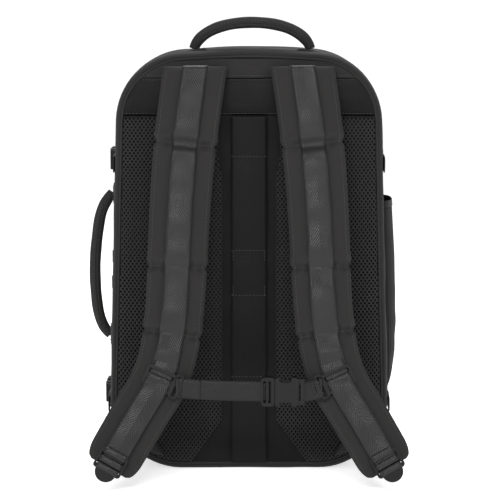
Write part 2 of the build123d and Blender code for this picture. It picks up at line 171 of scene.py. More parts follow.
def bag_ring(inset):
    """The bag's front outline as (x, z) points, counter-clockwise from the base, moved inwards.

    Every inset gives the same number of points, so rings of different insets join one to one.
    """
    corners = np.array([
        (-BASE_HALF_WIDTH, 0),
        (BASE_HALF_WIDTH, 0),
        (TOP_HALF_WIDTH, SHOULDER_HEIGHT),
        (0, BAG_HEIGHT),
        (-TOP_HALF_WIDTH, SHOULDER_HEIGHT),
    ])
    radii = [BASE_CORNER_RADIUS, BASE_CORNER_RADIUS, TOP_CORNER_RADIUS, CROWN_RADIUS, TOP_CORNER_RADIUS]
    count = len(corners)
    ways = unit(np.roll(corners, -1, axis=0) - corners)
    inward = np.stack([-ways[:, 1], ways[:, 0]], axis=1)
    points = []
    arcs = []
    for i in range(count):
        before, after = (i - 1) % count, i
        matrix = np.array([inward[before], inward[after]])
        levels = [inward[before] @ corners[i] + inset, inward[after] @ corners[i] + inset]
        corner = np.linalg.solve(matrix, levels)
        radius = max(radii[i] - inset, SMALLEST_RADIUS)
        turn = math.acos(np.clip(ways[before] @ ways[after], -1, 1))
        start = corner - ways[before] * radius * math.tan(turn / 2)
        centre = start + inward[before] * radius
        angle = math.atan2(start[1] - centre[1], start[0] - centre[0])
        swept = angle + np.linspace(0, turn, ARC_STEPS + 1)
        arcs.append(centre + radius * np.stack([np.cos(swept), np.sin(swept)], axis=1))
    for i in range(count):
        points.extend(arcs[i])
        end, begin = arcs[i][-1], arcs[(i + 1) % count][0]
        for step in range(1, EDGE_STEPS[i]):
            points.append(end + (begin - end) * step / EDGE_STEPS[i])
    return np.array(points)


def side_x(z):
    """Half width of the bag on its straight sides."""
    return BASE_HALF_WIDTH + (TOP_HALF_WIDTH - BASE_HALF_WIDTH) * z / SHOULDER_HEIGHT


def outline_half(inset, heights):
    """Half width of the outline, moved inwards, at some heights."""
    ring = bag_ring(inset)
    right = ring[ring[:, 0] > 0]
    order = np.argsort(right[:, 1])
    return np.interp(heights, right[order, 1], right[order, 0])


CHUNK = 4000  # points measured at once, to bound memory


def ring_distance(ring, points):
    """Signed distance of (x, z) points to a convex ring, positive inside, and the nearest ring points."""
    start = ring
    way = np.roll(ring, -1, axis=0) - ring
    length = np.maximum((way**2).sum(1), 1e-18)
    nearest = np.empty_like(points)
    distance = np.empty(len(points))
    for low in range(0, len(points), CHUNK):
        part = points[low:low + CHUNK]
        gap = part[:, None, :] - start[None]
        along = np.clip((gap * way[None]).sum(2) / length[None], 0, 1)
        foot = start[None] + along[..., None] * way[None]
        apart = np.linalg.norm(part[:, None] - foot, axis=2)
        pick = apart.argmin(1)
        rows = np.arange(len(part))
        nearest[low:low + CHUNK] = foot[rows, pick]
        inside = (way[None, :, 0] * gap[..., 1] - way[None, :, 1] * gap[..., 0] > -1e-12).all(1)
        distance[low:low + CHUNK] = np.where(inside, 1, -1) * apart[rows, pick]
    return distance, nearest


# ---------------------------------------------------------------- meshes
def mesh_object(name, verts, faces, material, uvs=None, smooth=True):
    """A mesh piece. uvs holds one (u, v) in metres for each vertex, or for each face corner."""
    mesh = bpy.data.meshes.new(name)
    mesh.from_pydata([tuple(v) for v in verts], [], faces)
    if uvs is not None:
        layer = mesh.uv_layers.new(name="cloth")
        uvs = np.asarray(uvs, float)
        if len(uvs) == len(verts):
            index = np.empty(len(mesh.loops), int)
            mesh.loops.foreach_get("vertex_index", index)
            uvs = uvs[index]
        layer.data.foreach_set("uv", uvs.ravel())
    mesh.polygons.foreach_set("use_smooth", [smooth] * len(mesh.polygons))
    mesh.materials.append(material)
    mesh.update()
    piece = bpy.data.objects.new(name, mesh)
    bpy.context.scene.collection.objects.link(piece)
    return piece


def points_of(piece):
    """A mesh's points, one to a row."""
    points = np.empty(len(piece.data.vertices) * 3)
    piece.data.vertices.foreach_get("co", points)
    return points.reshape(-1, 3)


def grid_faces(rows, columns, closed=False, flip=False):
    """Quads between the points of a grid; closed joins its last column to its first."""
    faces = []
    last = columns if closed else columns - 1
    for i in range(rows - 1):
        for j in range(last):
            k = (j + 1) % columns
            quad = (i * columns + j, i * columns + k, (i + 1) * columns + k, (i + 1) * columns + j)
            faces.append(quad[::-1] if flip else quad)
    return faces


def grid_piece(name, grid, material, closed=False, flip=False, caps=False):
    """A piece from a grid of points [row][column]; its UVs are lengths along the rows and columns."""
    rows, columns = grid.shape[:2]
    faces = grid_faces(rows, columns, closed, flip)
    middle_row = grid[rows // 2]
    around = lengths_along(np.vstack([middle_row, middle_row[:1]]) if closed else middle_row)
    along = lengths_along(grid[:, columns // 2])
    uvs = []
    last = columns if closed else columns - 1
    for i in range(rows - 1):
        for j in range(last):
            quad = [(around[j], along[i]), (around[j + 1], along[i]), (around[j + 1], along[i + 1]),
                    (around[j], along[i + 1])]
            uvs.extend(quad[::-1] if flip else quad)
    if caps:
        for row, turn in ((0, not flip), (rows - 1, flip)):
            loop = [row * columns + j for j in range(columns)]
            faces.append(loop[::-1] if turn else loop)
            uvs.extend([(0, 0)] * columns)
    return mesh_object(name, grid.reshape(-1, 3), faces, material, uvs)


def select(pieces):
    bpy.ops.object.select_all(action="DESELECT")
    for piece in pieces:
        piece.select_set(True)
    bpy.context.view_layer.objects.active = pieces[0]


def join(name, pieces):
    """Joins pieces into one, keeping their materials."""
    select(pieces)
    if len(pieces) > 1:
        bpy.ops.object.join()
    pieces[0].name = name
    pieces[0].data.name = name
    return pieces[0]


def thickened(piece, thickness):
    """Gives a sheet its thickness, behind its face."""
    solid = piece.modifiers.new("Thickness", "SOLIDIFY")
    solid.thickness = thickness
    solid.offset = -1
    select([piece])
    bpy.ops.object.modifier_apply(modifier=solid.name)
    return piece


def welded(piece, distance=0.02 * MM):
    """Merges the piece's points that touch and turns its faces outwards."""
    bm = bmesh.new()
    bm.from_mesh(piece.data)
    bmesh.ops.remove_doubles(bm, verts=bm.verts, dist=distance)
    bmesh.ops.recalc_face_normals(bm, faces=bm.faces)
    bm.to_mesh(piece.data)
    bm.free()
    return piece


def place(piece, body, *nodes, slot=None):
    """The piece moves with body and stands for the CAD nodes named."""
    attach(piece, body)
    if nodes:
        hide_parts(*nodes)


def bridge(piece, nodes=()):
    """The piece is fixed in world space, held by no body, and stands for the CAD nodes named."""
    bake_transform(piece)
    if nodes:
        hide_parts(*nodes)


def frames_along(path, outward):
    """Unit tangent, across and outward vectors along a path whose outward side is about outward."""
    way = unit(np.gradient(path, axis=0))
    out = np.asarray(outward, float)
    if out.ndim == 1:
        out = np.tile(out, (len(path), 1))
    across = unit(np.cross(out, way))
    return way, across, unit(np.cross(way, across))


def tube(name, path, radius, material, sides=10, outward=(0, -1, 0), flat=1.0, caps=True):
    """A round or flattened tube along a path; radius may change along it."""
    _, across, out = frames_along(path, outward)
    radius = np.broadcast_to(radius, (len(path),))
    angle = np.linspace(0, 2 * math.pi, sides, endpoint=False)
    grid = (path[:, None] + radius[:, None, None] * (np.cos(angle)[None, :, None] * across[:, None]
            + flat * np.sin(angle)[None, :, None] * out[:, None]))
    return grid_piece(name, grid, material, closed=True, caps=caps)


def ribbon(name, path, across, outward, width, material, thickness=WEBBING_THICKNESS, across_steps=6):
    """Flat webbing along a path: width across, thickness outwards from the path, with rounded edges."""
    half = width / 2
    top = np.linspace(-1, 1, across_steps + 1)
    section = [(across_at * half, thickness * (1 - 0.3 * abs(across_at) ** 8)) for across_at in top]
    section += [(across_at * half, 0.0) for across_at in top[::-1]]
    grid = np.stack([path + across * x + outward * z for x, z in section], axis=1)
    return grid_piece(name, grid, material, closed=True, caps=True)


STITCH = 2.6 * MM
STITCH_GAP = 1.5 * MM
THREAD_RADIUS = 0.3 * MM
THREAD_LIFT = 0.05 * MM


def stitches(path, outward, name="seam"):
    """A run of thread: short flat capsules along a path on a surface."""
    path = np.asarray(path, float)
    total = lengths_along(path)[-1]
    count = max(2, int(total / (STITCH + STITCH_GAP)))
    fine = spaced(path, count * 3 + 1)
    outs = np.asarray(outward, float)
    if outs.ndim == 1:
        outs = np.tile(outs, (len(path), 1))
    outs = unit(spaced(np.hstack([path, outs]), count * 3 + 1)[:, 3:])
    verts = []
    faces = []
    for k in range(count):
        start, end = fine[3 * k], fine[3 * k + 2]
        out = outs[3 * k + 1]
        way = unit(end - start)
        side = np.cross(way, out) * THREAD_RADIUS
        rise = out * (THREAD_RADIUS * 0.9)
        base = len(verts)
        for along, swell in ((0.0, 0.45), (0.2, 1.0), (0.8, 1.0), (1.0, 0.45)):
            at = start + (end - start) * along + out * THREAD_LIFT
            verts += [at - side * swell, at + rise * swell, at + side * swell]
        for first in (base, base + 3, base + 6):
            faces += [(first, first + 1, first + 4, first + 3), (first + 1, first + 2, first + 5, first + 4)]
        faces += [(base + 2, base + 1, base), (base + 9, base + 10, base + 11)]
    return mesh_object(name, verts, faces, THREAD, np.zeros((len(verts), 2)))


def rumple(points, normals, size, depth, seed=0.0):
    """Moves points along their normals by smooth noise of a feature size."""
    moved = np.array(points, float)
    flat = moved.reshape(-1, 3)
    ways = np.asarray(normals, float).reshape(-1, 3)
    for k in range(len(flat)):
        at = Vector(flat[k]) / size + Vector((seed, seed * 1.7, seed * 0.3))
        flat[k] += ways[k] * (depth * noise.noise(at))
    return flat.reshape(moved.shape)


# ---------------------------------------------------------------- materials
class Graph:
    """A material's nodes, written in a short way."""

    def __init__(self, name):
        self.material = bpy.data.materials.new(name)
        self.material.use_nodes = True
        self.tree = self.material.node_tree
        self.shader = self.tree.nodes["Principled BSDF"]

    def set(self, **values):
        for key, value in values.items():
            self.shader.inputs[key.replace("_", " ")].default_value = value

    def node(self, kind, inputs=(), **settings):
        made = self.tree.nodes.new(kind)
        for key, value in settings.items():
            setattr(made, key, value)
        for key, value in dict(inputs).items():
            if hasattr(value, "is_output"):
                self.tree.links.new(value, made.inputs[key])
            else:
                made.inputs[key].default_value = value
        return made

    def math(self, operation, *values, clamp=False):
        made = self.node("ShaderNodeMath", dict(enumerate(values)), operation=operation, use_clamp=clamp)
        return made.outputs[0]

    def uv(self):
        source = self.node("ShaderNodeUVMap", uv_map="cloth")
        split = self.node("ShaderNodeSeparateXYZ", {0: source.outputs["UV"]})
        return split.outputs[0], split.outputs[1]

    def place(self):
        return self.node("ShaderNodeTexCoord").outputs["Object"]

    def noise(self, scale, detail, roughness):
        inputs = {"Scale": scale, "Detail": detail, "Roughness": roughness, "Vector": self.place()}
        return self.node("ShaderNodeTexNoise", inputs).outputs["Fac"]

    def ramp(self, value, low, high, out_low, out_high):
        made = self.node("ShaderNodeMapRange", {0: value, 1: low, 2: high, 3: out_low, 4: out_high})
        return made.outputs[0]

    def tint(self, value, dark, light):
        """A colour between dark and light by value."""
        made = self.node("ShaderNodeMix", data_type="RGBA")
        self.tree.links.new(value, made.inputs[0])
        made.inputs[6].default_value = (*dark, 1)
        made.inputs[7].default_value = (*light, 1)
        return made.outputs[2]

    def colour(self, value, dark, light):
        """Base colour between dark and light by value."""
        self.tree.links.new(self.tint(value, dark, light), self.shader.inputs["Base Color"])

    def roughness(self, value, smooth, rough, low=0.3, high=0.7):
        """Roughness from smooth to rough as value goes from low to high."""
        self.tree.links.new(self.ramp(value, low, high, smooth, rough), self.shader.inputs["Roughness"])

    def weigh(self, *parts):
        """The sum of (value, weight) parts, held between 0 and 1."""
        total = self.math("MULTIPLY", *parts[0])
        for index, part in enumerate(parts[1:], start=2):
            total = self.math("ADD", total, self.math("MULTIPLY", *part), clamp=index == len(parts))
        return total

    def ridge(self, value, reach):
        """Waves between 0 and 1 that turn each time value has moved by reach."""
        return self.ramp(self.math("PINGPONG", value, reach), 0.0, reach, 0.0, 1.0)

    def bump(self, *heights):
        """Chains bumps of (height socket, strength, distance in metres)."""
        normal = None
        for height, strength, distance in heights:
            inputs = {"Strength": strength, "Distance": distance, "Height": height}
            if normal is not None:
                inputs["Normal"] = normal
            normal = self.node("ShaderNodeBump", inputs).outputs[0]
        self.tree.links.new(normal, self.shader.inputs["Normal"])


def grey(*levels):
    """A neutral colour at each level."""
    return [(level, level, level) for level in levels]


def woven_twill(name, dark, light, rough=0.72, pitch=0.95 * MM):
    """Plain twill cloth: fine diagonal lines, slubs and a faint worn tone."""
    g = Graph(name)
    u, v = g.uv()
    diagonal = g.math("PINGPONG", g.math("ADD", u, v), pitch)
    cross = g.math("PINGPONG", g.math("SUBTRACT", u, g.math("MULTIPLY", v, 2.0)), pitch * 0.8)
    weave = g.math("ADD", diagonal, g.math("MULTIPLY", cross, 0.5))
    height = g.ramp(weave, 0.0, pitch * 1.4, 0.0, 1.0)
    patches = g.noise(34.0, 5.0, 0.6)
    slub = g.noise(900.0, 2.0, 0.5)
    g.colour(g.weigh((patches, 0.4), (height, 0.5), (slub, 0.25)), dark, light)
    g.roughness(patches, rough - 0.07, rough + 0.06)
    g.bump((height, 0.55, 0.4 * MM), (slub, 0.2, 0.25 * MM))
    g.set(Sheen_Weight=0.02, Sheen_Roughness=0.45, Specular_IOR_Level=0.16)
    return g.material


def herringbone(name, dark, light, column, gloss, rough=0.42, pitch=4.4 * MM):
    """Woven webbing whose yarns turn at every column's width: u across the webbing and v along it."""
    g = Graph(name)
    u, v = g.uv()
    zigzag = g.math("MULTIPLY", g.math("PINGPONG", u, column), 1.5)
    yarn = g.ridge(g.math("ADD", v, zigzag), pitch / 2)
    cross = g.ridge(g.math("SUBTRACT", v, zigzag), pitch / 5)
    patches = g.noise(45.0, 5.0, 0.65)
    g.colour(g.weigh((yarn, 0.85), (patches, 0.3), (cross, 0.12)), dark, light)
    g.roughness(patches, rough - 0.08, rough + 0.08)
    g.bump((yarn, 0.6, 0.45 * MM), (cross, 0.3, 0.2 * MM))
    g.set(Specular_IOR_Level=gloss)
    return g.material


def spacer_mesh(name, dark, light):
    """Knitted face of the air mesh."""
    g = Graph(name)
    knit = g.node("ShaderNodeTexVoronoi", {"Vector": g.place(), "Scale": 900.0}).outputs["Distance"]
    patches = g.noise(26.0, 4.0, 0.6)
    g.colour(g.weigh((knit, 0.5), (patches, 0.5)), dark, light)
    g.roughness(patches, 0.72, 0.9)
    g.bump((knit, 0.4, 0.3 * MM))
    g.set(Sheen_Weight=0.02, Sheen_Roughness=0.4, Specular_IOR_Level=0.14)
    return g.material


def ribbed_knit(name, dark, light, pitch=3.2 * MM):
    """Stretch cloth with ribs across u."""
    g = Graph(name)
    u, v = g.uv()
    rib = g.math("SMOOTH_MIN", g.ridge(u, pitch / 2), 0.8, 0.4)
    knit = g.ridge(v, 0.5 * MM)
    patches = g.noise(40.0, 4.0, 0.6)
    g.colour(g.weigh((rib, 0.7), (patches, 0.3)), dark, light)
    g.roughness(patches, 0.7, 0.88)
    g.bump((rib, 0.8, 1.0 * MM), (knit, 0.2, 0.2 * MM))
    g.set(Sheen_Weight=0.02, Sheen_Roughness=0.4, Specular_IOR_Level=0.14)
    return g.material


def moulded(name, dark, light, rough=0.38, grain=0.12, metallic=0.0, gloss=0.5):
    """Satin moulded plastic, or enamelled metal, with fine grain and rubbed patches."""
    g = Graph(name)
    fine = g.noise(1600.0, 2.0, 0.5)
    patches = g.noise(55.0, 4.0, 0.65)
    scuffs = g.noise(420.0, 5.0, 0.7)
    g.colour(g.weigh((patches, 0.6), (scuffs, 0.3)), dark, light)
    g.roughness(scuffs, rough - 0.06, rough + 0.12, low=0.35)
    g.bump((fine, grain, 0.12 * MM))
    g.set(Specular_IOR_Level=gloss, Metallic=metallic)
    return g.material


def spun_thread(name, dark, light):
    """Sewing thread."""
    g = Graph(name)
    twist = g.noise(2200.0, 2.0, 0.5)
    g.colour(twist, dark, light)
    g.roughness(twist, 0.5, 0.7)
    g.bump((twist, 0.3, 0.1 * MM))
    g.set(Sheen_Weight=0.2, Sheen_Roughness=0.4)
    return g.material


FLOOR_GLOW = 0.62


def floor_paint():
    """Pale studio floor, lit a little from below like a white table."""
    g = Graph("floor_paint")
    cloud = g.noise(1.4, 3.0, 0.5)
    g.colour(cloud, *grey(0.9, 0.93))
    g.roughness(cloud, 0.75, 0.85)
    g.set(Emission_Color=(1, 1, 1, 1), Emission_Strength=FLOOR_GLOW)
    return g.material


CLOTH = woven_twill("bag_cloth", (0.0062, 0.0057, 0.0057), (0.0235, 0.0222, 0.022))
# Darker copy of the bag cloth: painted shade on the middle column between the straps.
COLUMN_CLOTH_PAINTED_SHADE = woven_twill("column_cloth_painted_shade", (0.0016, 0.0015, 0.0015), (0.0062, 0.0058, 0.0058))
STRAP_CLOTH = woven_twill("strap_cloth", (0.0058, 0.0054, 0.0054), (0.0275, 0.0262, 0.0258))
PIPING_CLOTH = woven_twill("piping_cloth", (0.007, 0.0067, 0.0067), (0.024, 0.0235, 0.023), 0.6, 1.1 * MM)
BINDING = woven_twill("binding_cloth", (0.006, 0.0058, 0.0058), (0.02, 0.0195, 0.019), rough=0.6)
TAPE = woven_twill("zip_tape_cloth", *grey(0.006, 0.016), 0.7, 0.6 * MM)
LINING = woven_twill("lining_cloth", (0.045, 0.045, 0.049), (0.078, 0.078, 0.083), 0.6, 0.6 * MM)
WEB = herringbone("strap_webbing", (0.0008, 0.0008, 0.0008), (0.0145, 0.015, 0.0146), 15 * MM, 0.32, 0.36)
SLIM_WEB = herringbone("slim_webbing", (0.0014, 0.0014, 0.0014), (0.017, 0.0175, 0.017), 12 * MM, 0.2)
# Darker copy of the strap webbing: painted shade on the centre webbing between the straps.
WIDE_WEB_PAINTED_SHADE = herringbone("centre_webbing", (0.0006, 0.0006, 0.0006), (0.0085, 0.0085, 0.0083), 22 * MM, 0.1)
BAND_WEB = herringbone("band_webbing", (0.0005, 0.0005, 0.0005), (0.0062, 0.0064, 0.0061), 22 * MM, 0.1)
AIR_MESH = spacer_mesh("air_mesh", (0.008, 0.008, 0.0082), (0.028, 0.028, 0.0285))
# The pad's real backing layer, coloured near-black as painted shade seen through the mesh holes.
MESH_BACKING_PAINTED_SHADE = spacer_mesh("mesh_backing_painted_shade", *grey(0.0012, 0.003))
RIBBED = ribbed_knit("ribbed_stretch", (0.006, 0.006, 0.006), (0.028, 0.028, 0.0275))
PLASTIC = moulded("acetal", (0.002, 0.002, 0.0021), (0.006, 0.006, 0.0062), gloss=0.24)
ENAMEL = moulded("zip_enamel", (0.012, 0.012, 0.0125), (0.032, 0.032, 0.033), 0.3, 0.05, metallic=0.6)
COIL = moulded("zip_coil", *grey(0.008, 0.022), rough=0.45)
THREAD = spun_thread("thread", (0.012, 0.012, 0.012), (0.04, 0.04, 0.0385))


# ---------------------------------------------------------------- bag shells
def ring_at(inset, y):
    """The bag's outline, moved inwards, as points at depth y."""
    ring = bag_ring(inset)
    return xyz(ring[:, 0], y, ring[:, 1])


def shell(name, profile, material, depth=1.2 * MM, size=55 * MM, seed=0.0):
    """A sewn shell: rings of the outline at (depth, inset) stations, softly rumpled."""
    stations = np.array(profile) * MM
    fine = smooth_stations(stations)
    grid = np.stack([ring_at(inset, y) for y, inset in fine])
    middle = grid.mean(axis=(0, 1))
    normals = unit((grid - middle) * np.array([1, 0.3, 1]))
    grid = rumple(grid, normals, size, depth, seed)
    grid[..., 2] = np.maximum(grid[..., 2], 0.0)
    return grid_piece(name, grid, material, closed=True)


def smooth_stations(stations, step=5 * MM):
    """Stations of a profile, divided so that no two are further apart than step."""
    out = [stations[0]]
    for start, end in zip(stations[:-1], stations[1:]):
        count = max(1, int(math.ceil(np.linalg.norm(end - start) / step)))
        for k in range(1, count + 1):
            out.append(start + (end - start) * k / count)
    return np.array(out)


def level(y):
    """A flat face at depth y."""
    return lambda x, z: np.full_like(x, y)


def face_grid(name, material, inset, y_of, flip, rings=26, seed=0.0, depth=0.0):
    """A panel filling the outline: rings that shrink towards the middle, at depth y_of(x, z)."""
    base = bag_ring(inset)
    middle = np.stack([np.zeros(len(base)), np.clip(base[:, 1], 160 * MM, 360 * MM)], axis=1)
    rows = []
    for inwards in np.linspace(0, 1, rings):
        flat = base * (1 - inwards) + middle * inwards
        rows.append(xyz(flat[:, 0], y_of(flat[:, 0], flat[:, 1]), flat[:, 1]))
    grid = np.array(rows)
    if depth:
        normals = np.tile(np.array([0.0, 1.0, 0.0]), grid.shape[:2] + (1,))
        grid = rumple(grid, normals, 60 * MM, depth, seed)
    faces = grid_faces(*grid.shape[:2], closed=True, flip=flip)
    points = grid.reshape(-1, 3)
    return welded(mesh_object(name, points, faces, material, points[:, [0, 2]]), 0.1 * MM)


# Profiles as (depth, inset) in millimetres, from the back panel to the zip and from the zip to the front.
RIM_PROFILE = [(-88.0, 8.0), (-90.2, 6.8), (-91.4, 5.2), (-91.2, 3.2), (-89.4, 1.5), (-86.6, 0.3),
               (-82.0, -0.6), (-60.0, -1.6), (-35.0, -1.9), (-10.0, -1.2), (6.0, 0.0), (13.5, 0.8)]
LID_PROFILE = [(26.5, 0.9), (32.0, 0.2), (48.0, -0.8), (62.0, 0.0), (68.0, 1.6), (75.0, 5.2), (80.5, 9.8),
               (84.5, 15.0), (87.0, 21.0), (88.2, 27.5)]


def back_shell():
    """The bag's back half: gusset, back panel and lining."""
    gusset = shell("gusset_cloth", RIM_PROFILE, CLOTH, seed=3.0)
    back = face_grid("back_cloth", CLOTH, 8.0 * MM, level(-88.6 * MM), flip=True)
    outer = join("back_half_cloth", [gusset, back])
    gussets = [f"gusset_{word}" for word in ("top", "base", "left", "right")]
    place(outer, "bag", *gussets, "back_panel", slot="shell_fabric")
    lining_profile = [(13.5, 3.4), (-20.0, 2.6), (-70.0, 3.0), (-82.0, 6.0), (-85.2, 14.0)]
    lining = shell("back_lining", lining_profile, LINING, seed=8.0, depth=0.8 * MM)
    floor = face_grid("back_lining_panel", LINING, 14 * MM, level(-85.2 * MM), flip=False)
    place(join("back_half_lining", [lining, floor]), "bag", "frame_sheet", slot="lining")


def lid_shell():
    """The lid: its side, its front and its lining."""
    rim = shell("lid_side_cloth", LID_PROFILE, CLOTH, seed=11.0)
    front = face_grid("lid_front_cloth", CLOTH, 27.5 * MM, lid_front_y, flip=False, depth=1.0 * MM, seed=14.0)
    place(join("lid_cloth", [rim, front]), "lid", "lid_shell", slot="shell_fabric")
    lining_profile = [(84.0, 22.0), (78.0, 10.5), (66.0, 4.4), (50.0, 3.0), (26.5, 3.4)]
    lining = shell("lid_lining_side", lining_profile, LINING, seed=18.0, depth=0.8 * MM)
    panel = face_grid("lid_lining_front", LINING, 22 * MM, level(84 * MM), flip=True)
    place(join("lid_lining", [lining, panel]), "lid", slot="lining")


def lid_front_y(x, z):
    """The lid's front crowns gently under its load."""
    over_width = np.clip(1 - (x / (150 * MM)) ** 2, 0, 1)
    over_height = np.clip(1 - ((z - 260 * MM) / (250 * MM)) ** 2, 0, 1)
    return 88.2 * MM + 1.6 * MM * over_width * over_height


# ---------------------------------------------------------------- back panel
def column_half(z):
    """Half width of the plain middle column at height z."""
    return np.interp(z, [6 * MM, 62 * MM, 368 * MM, 390 * MM],
                     [COLUMN_FLARE_HALF_WIDTH, COLUMN_HALF_WIDTH, COLUMN_HALF_WIDTH, COLUMN_TOP_HALF_WIDTH])


PAD_RING = bag_ring(9 * MM)
PAD_TOP_Z = BAND_LOW_Z - 1 * MM


def pad_distance(side, points):
    """How far points lie inside a mesh pad's outline, negative outside it."""
    ring, _ = ring_distance(PAD_RING, points)
    slant = np.where(points[:, 1] < 62 * MM, 0.8, 1.0)
    inner = (side * points[:, 0] - column_half(points[:, 1])) * slant
    return np.minimum(np.minimum(ring, inner), PAD_TOP_Z - points[:, 1])


def onto_pad(side, points):
    """Points outside a pad's outline moved to its edge."""
    moved = points.copy()
    for _ in range(3):
        distance, nearest = ring_distance(PAD_RING, moved)
        moved = np.where(distance[:, None] < 0, nearest, moved)
        moved[:, 0] = side * np.maximum(side * moved[:, 0], column_half(moved[:, 1]))
        moved[:, 1] = np.minimum(moved[:, 1], PAD_TOP_Z)
    return moved


def pad_height(side, points):
    """Rise of the pad above the panel: rounded at its edge, softly uneven in the middle."""
    inside = np.clip(pad_distance(side, points) / (13 * MM), 0, 1)
    rise = PAD_RISE * np.sqrt(np.clip(1 - (1 - inside) ** 2, 0, 1))
    swell = 0.8 * MM * np.sin(points[:, 1] * 23.0 + side) * np.sin(points[:, 0] * 31.0)
    return 1.4 * MM + rise + swell * inside


HOLE_PITCH = 5.0 * MM
HOLE_ROW = 3.5 * MM
HOLE_RADIUS = 1.3 * MM
HOLE_TALL = 1.25  # a hole's height over its width
HOLE_SIDES = 12
HOLE_RINGS = ((1.0, -0.25 * MM), (0.86, -1.9 * MM))  # scale and depth of a hole's rim and of its bottom


def air_mesh(side, word):
    """The open face of the air mesh: a sheet of hexagons with round holes, over its dark backing."""
    squeeze = HOLE_ROW / (HOLE_PITCH * math.sqrt(3) / 2)
    corner_radius = HOLE_PITCH / math.sqrt(3)
    hexagon = [(math.sin(k * math.pi / 3), squeeze * math.cos(k * math.pi / 3)) for k in range(6)]
    circle = [(math.sin(k * math.tau / HOLE_SIDES), HOLE_TALL * math.cos(k * math.tau / HOLE_SIDES))
              for k in range(HOLE_SIDES)]
    verts, faces = [], []
    corner_of = {}

    def corner(x, z):
        key = (round(x / (0.05 * MM)), round(z / (0.05 * MM)))
        if key not in corner_of:
            corner_of[key] = len(verts)
            verts.append((x, z, 0.0))
        return corner_of[key]

    centres = []
    for row in range(int(460 * MM / HOLE_ROW)):
        for column in range(int(180 * MM / HOLE_PITCH)):
            centres.append((side * (28 * MM + (column + 0.5 * (row % 2)) * HOLE_PITCH), row * HOLE_ROW))
    centres = np.array(centres)
    keep = pad_distance(side, centres) > -0.25 * HOLE_PITCH
    for x, z in centres[keep]:
        ring = [corner(x + corner_radius * right, z + corner_radius * up) for right, up in hexagon]
        rim = len(verts)
        bottom = rim + HOLE_SIDES
        for scale, drop in HOLE_RINGS:
            radius = HOLE_RADIUS * scale
            verts.extend((x + radius * right, z + radius * up, drop) for right, up in circle)
        for k in range(6):
            on_rim = [rim + (2 * k + step) % HOLE_SIDES for step in (2, 1, 0)]
            faces.append((ring[k], ring[(k + 1) % 6], *on_rim))
        for k in range(HOLE_SIDES):
            after = (k + 1) % HOLE_SIDES
            faces.append((rim + k, rim + after, bottom + after, bottom + k))
    verts = np.array(verts)
    flat = onto_pad(side, verts[:, :2])
    height = pad_height(side, flat) + verts[:, 2]
    points = xyz(flat[:, 0], PANEL_Y - height, flat[:, 1])
    return mesh_object(f"air_mesh_face_{word}", points, faces, AIR_MESH, flat)


def pad_backing(side, word):
    """Sheet of the pad under its open face, a real layer coloured near-black as painted shade inside the
    holes.
    """
    steps_x, steps_z = 26, 90
    reach = np.linspace(0, 140 * MM, steps_x)
    heights = np.linspace(3 * MM, PAD_TOP_Z, steps_z)
    points = np.array([[side * (column_half(z) + out), z] for z in heights for out in reach])
    flat = onto_pad(side, points)
    height = np.maximum(pad_height(side, flat) - 2.3 * MM, 0.2 * MM)
    upper = xyz(flat[:, 0], PANEL_Y - height, flat[:, 1]).reshape(steps_z, steps_x, 3)
    return welded(grid_piece(f"pad_backing_{word}", upper, MESH_BACKING_PAINTED_SHADE, flip=side < 0), 0.3 * MM)


def back_pads():
    for side, word in SIDES:
        pad = join(f"mesh_pad_{word}", [air_mesh(side, word), pad_backing(side, word)])
        place(pad, "bag", f"mesh_panel_{word}", f"pad_foam_{word}", slot="air_mesh")


def clipped_panel(name, material, low, high, y_of, steps=(90, 22), inset=9 * MM, flip=False, depth=0.0):
    """A horizontal strip of the back panel between two heights, cut to the bag's outline."""
    rows = []
    heights = np.linspace(low, high, steps[1])
    for z, half in zip(heights, outline_half(inset, heights)):
        x = np.linspace(-half, half, steps[0])
        rows.append(xyz(x, y_of(x, np.full_like(x, z)), z))
    grid = np.array(rows)
    if depth:
        normals = np.tile(np.array([0.0, -1.0, 0.0]), grid.shape[:2] + (1,))
        grid = rumple(grid, normals, 14 * MM, depth)
    piece = grid_piece(name, grid, material, flip=flip)
    index = np.empty(len(piece.data.loops), int)
    piece.data.loops.foreach_get("vertex_index", index)
    flat = grid.reshape(-1, 3)[index][:, [2, 0]]
    piece.data.uv_layers[0].data.foreach_set("uv", flat.ravel())
    return piece


def band_y(x, z):
    """The band swells a little between its seams, most of all in the middle."""
    up = (z - BAND_LOW_Z) / (BAND_HIGH_Z - BAND_LOW_Z)
    seam = np.sqrt(np.clip(1 - (2 * up - 1) ** 4, 0, 1))
    middle = np.exp(-((x / (34 * MM)) ** 2))
    return PANEL_Y - (0.9 + 2.6 * seam + 1.5 * middle * seam) * MM


def yoke_y(x, z):
    """The yoke is full in its middle and puckers along the band's seam."""
    up = np.clip((z - BAND_HIGH_Z) / (24 * MM), 0, 1)
    puckers = 1.1 * MM * np.sin(x / (7.5 * MM) + 2.0 * np.sin(x / (31 * MM))) * (1 - up) ** 2
    return PANEL_Y - (0.8 * MM + 2.4 * MM * np.sin(math.pi * np.clip(up + 0.1, 0, 1)) + puckers)


def column_y(x, z):
    """The middle column ripples a little down its length."""
    ripple = 0.35 * MM * np.sin(z * 61.0 + x * 40.0) + 0.25 * MM * np.sin(z * 143.0)
    return PANEL_Y - 1.6 * MM + ripple


COLUMN_SEAM_HEIGHTS = np.array([391, 275, 219, 117]) * MM
WIDE_WEBBING = 44 * MM


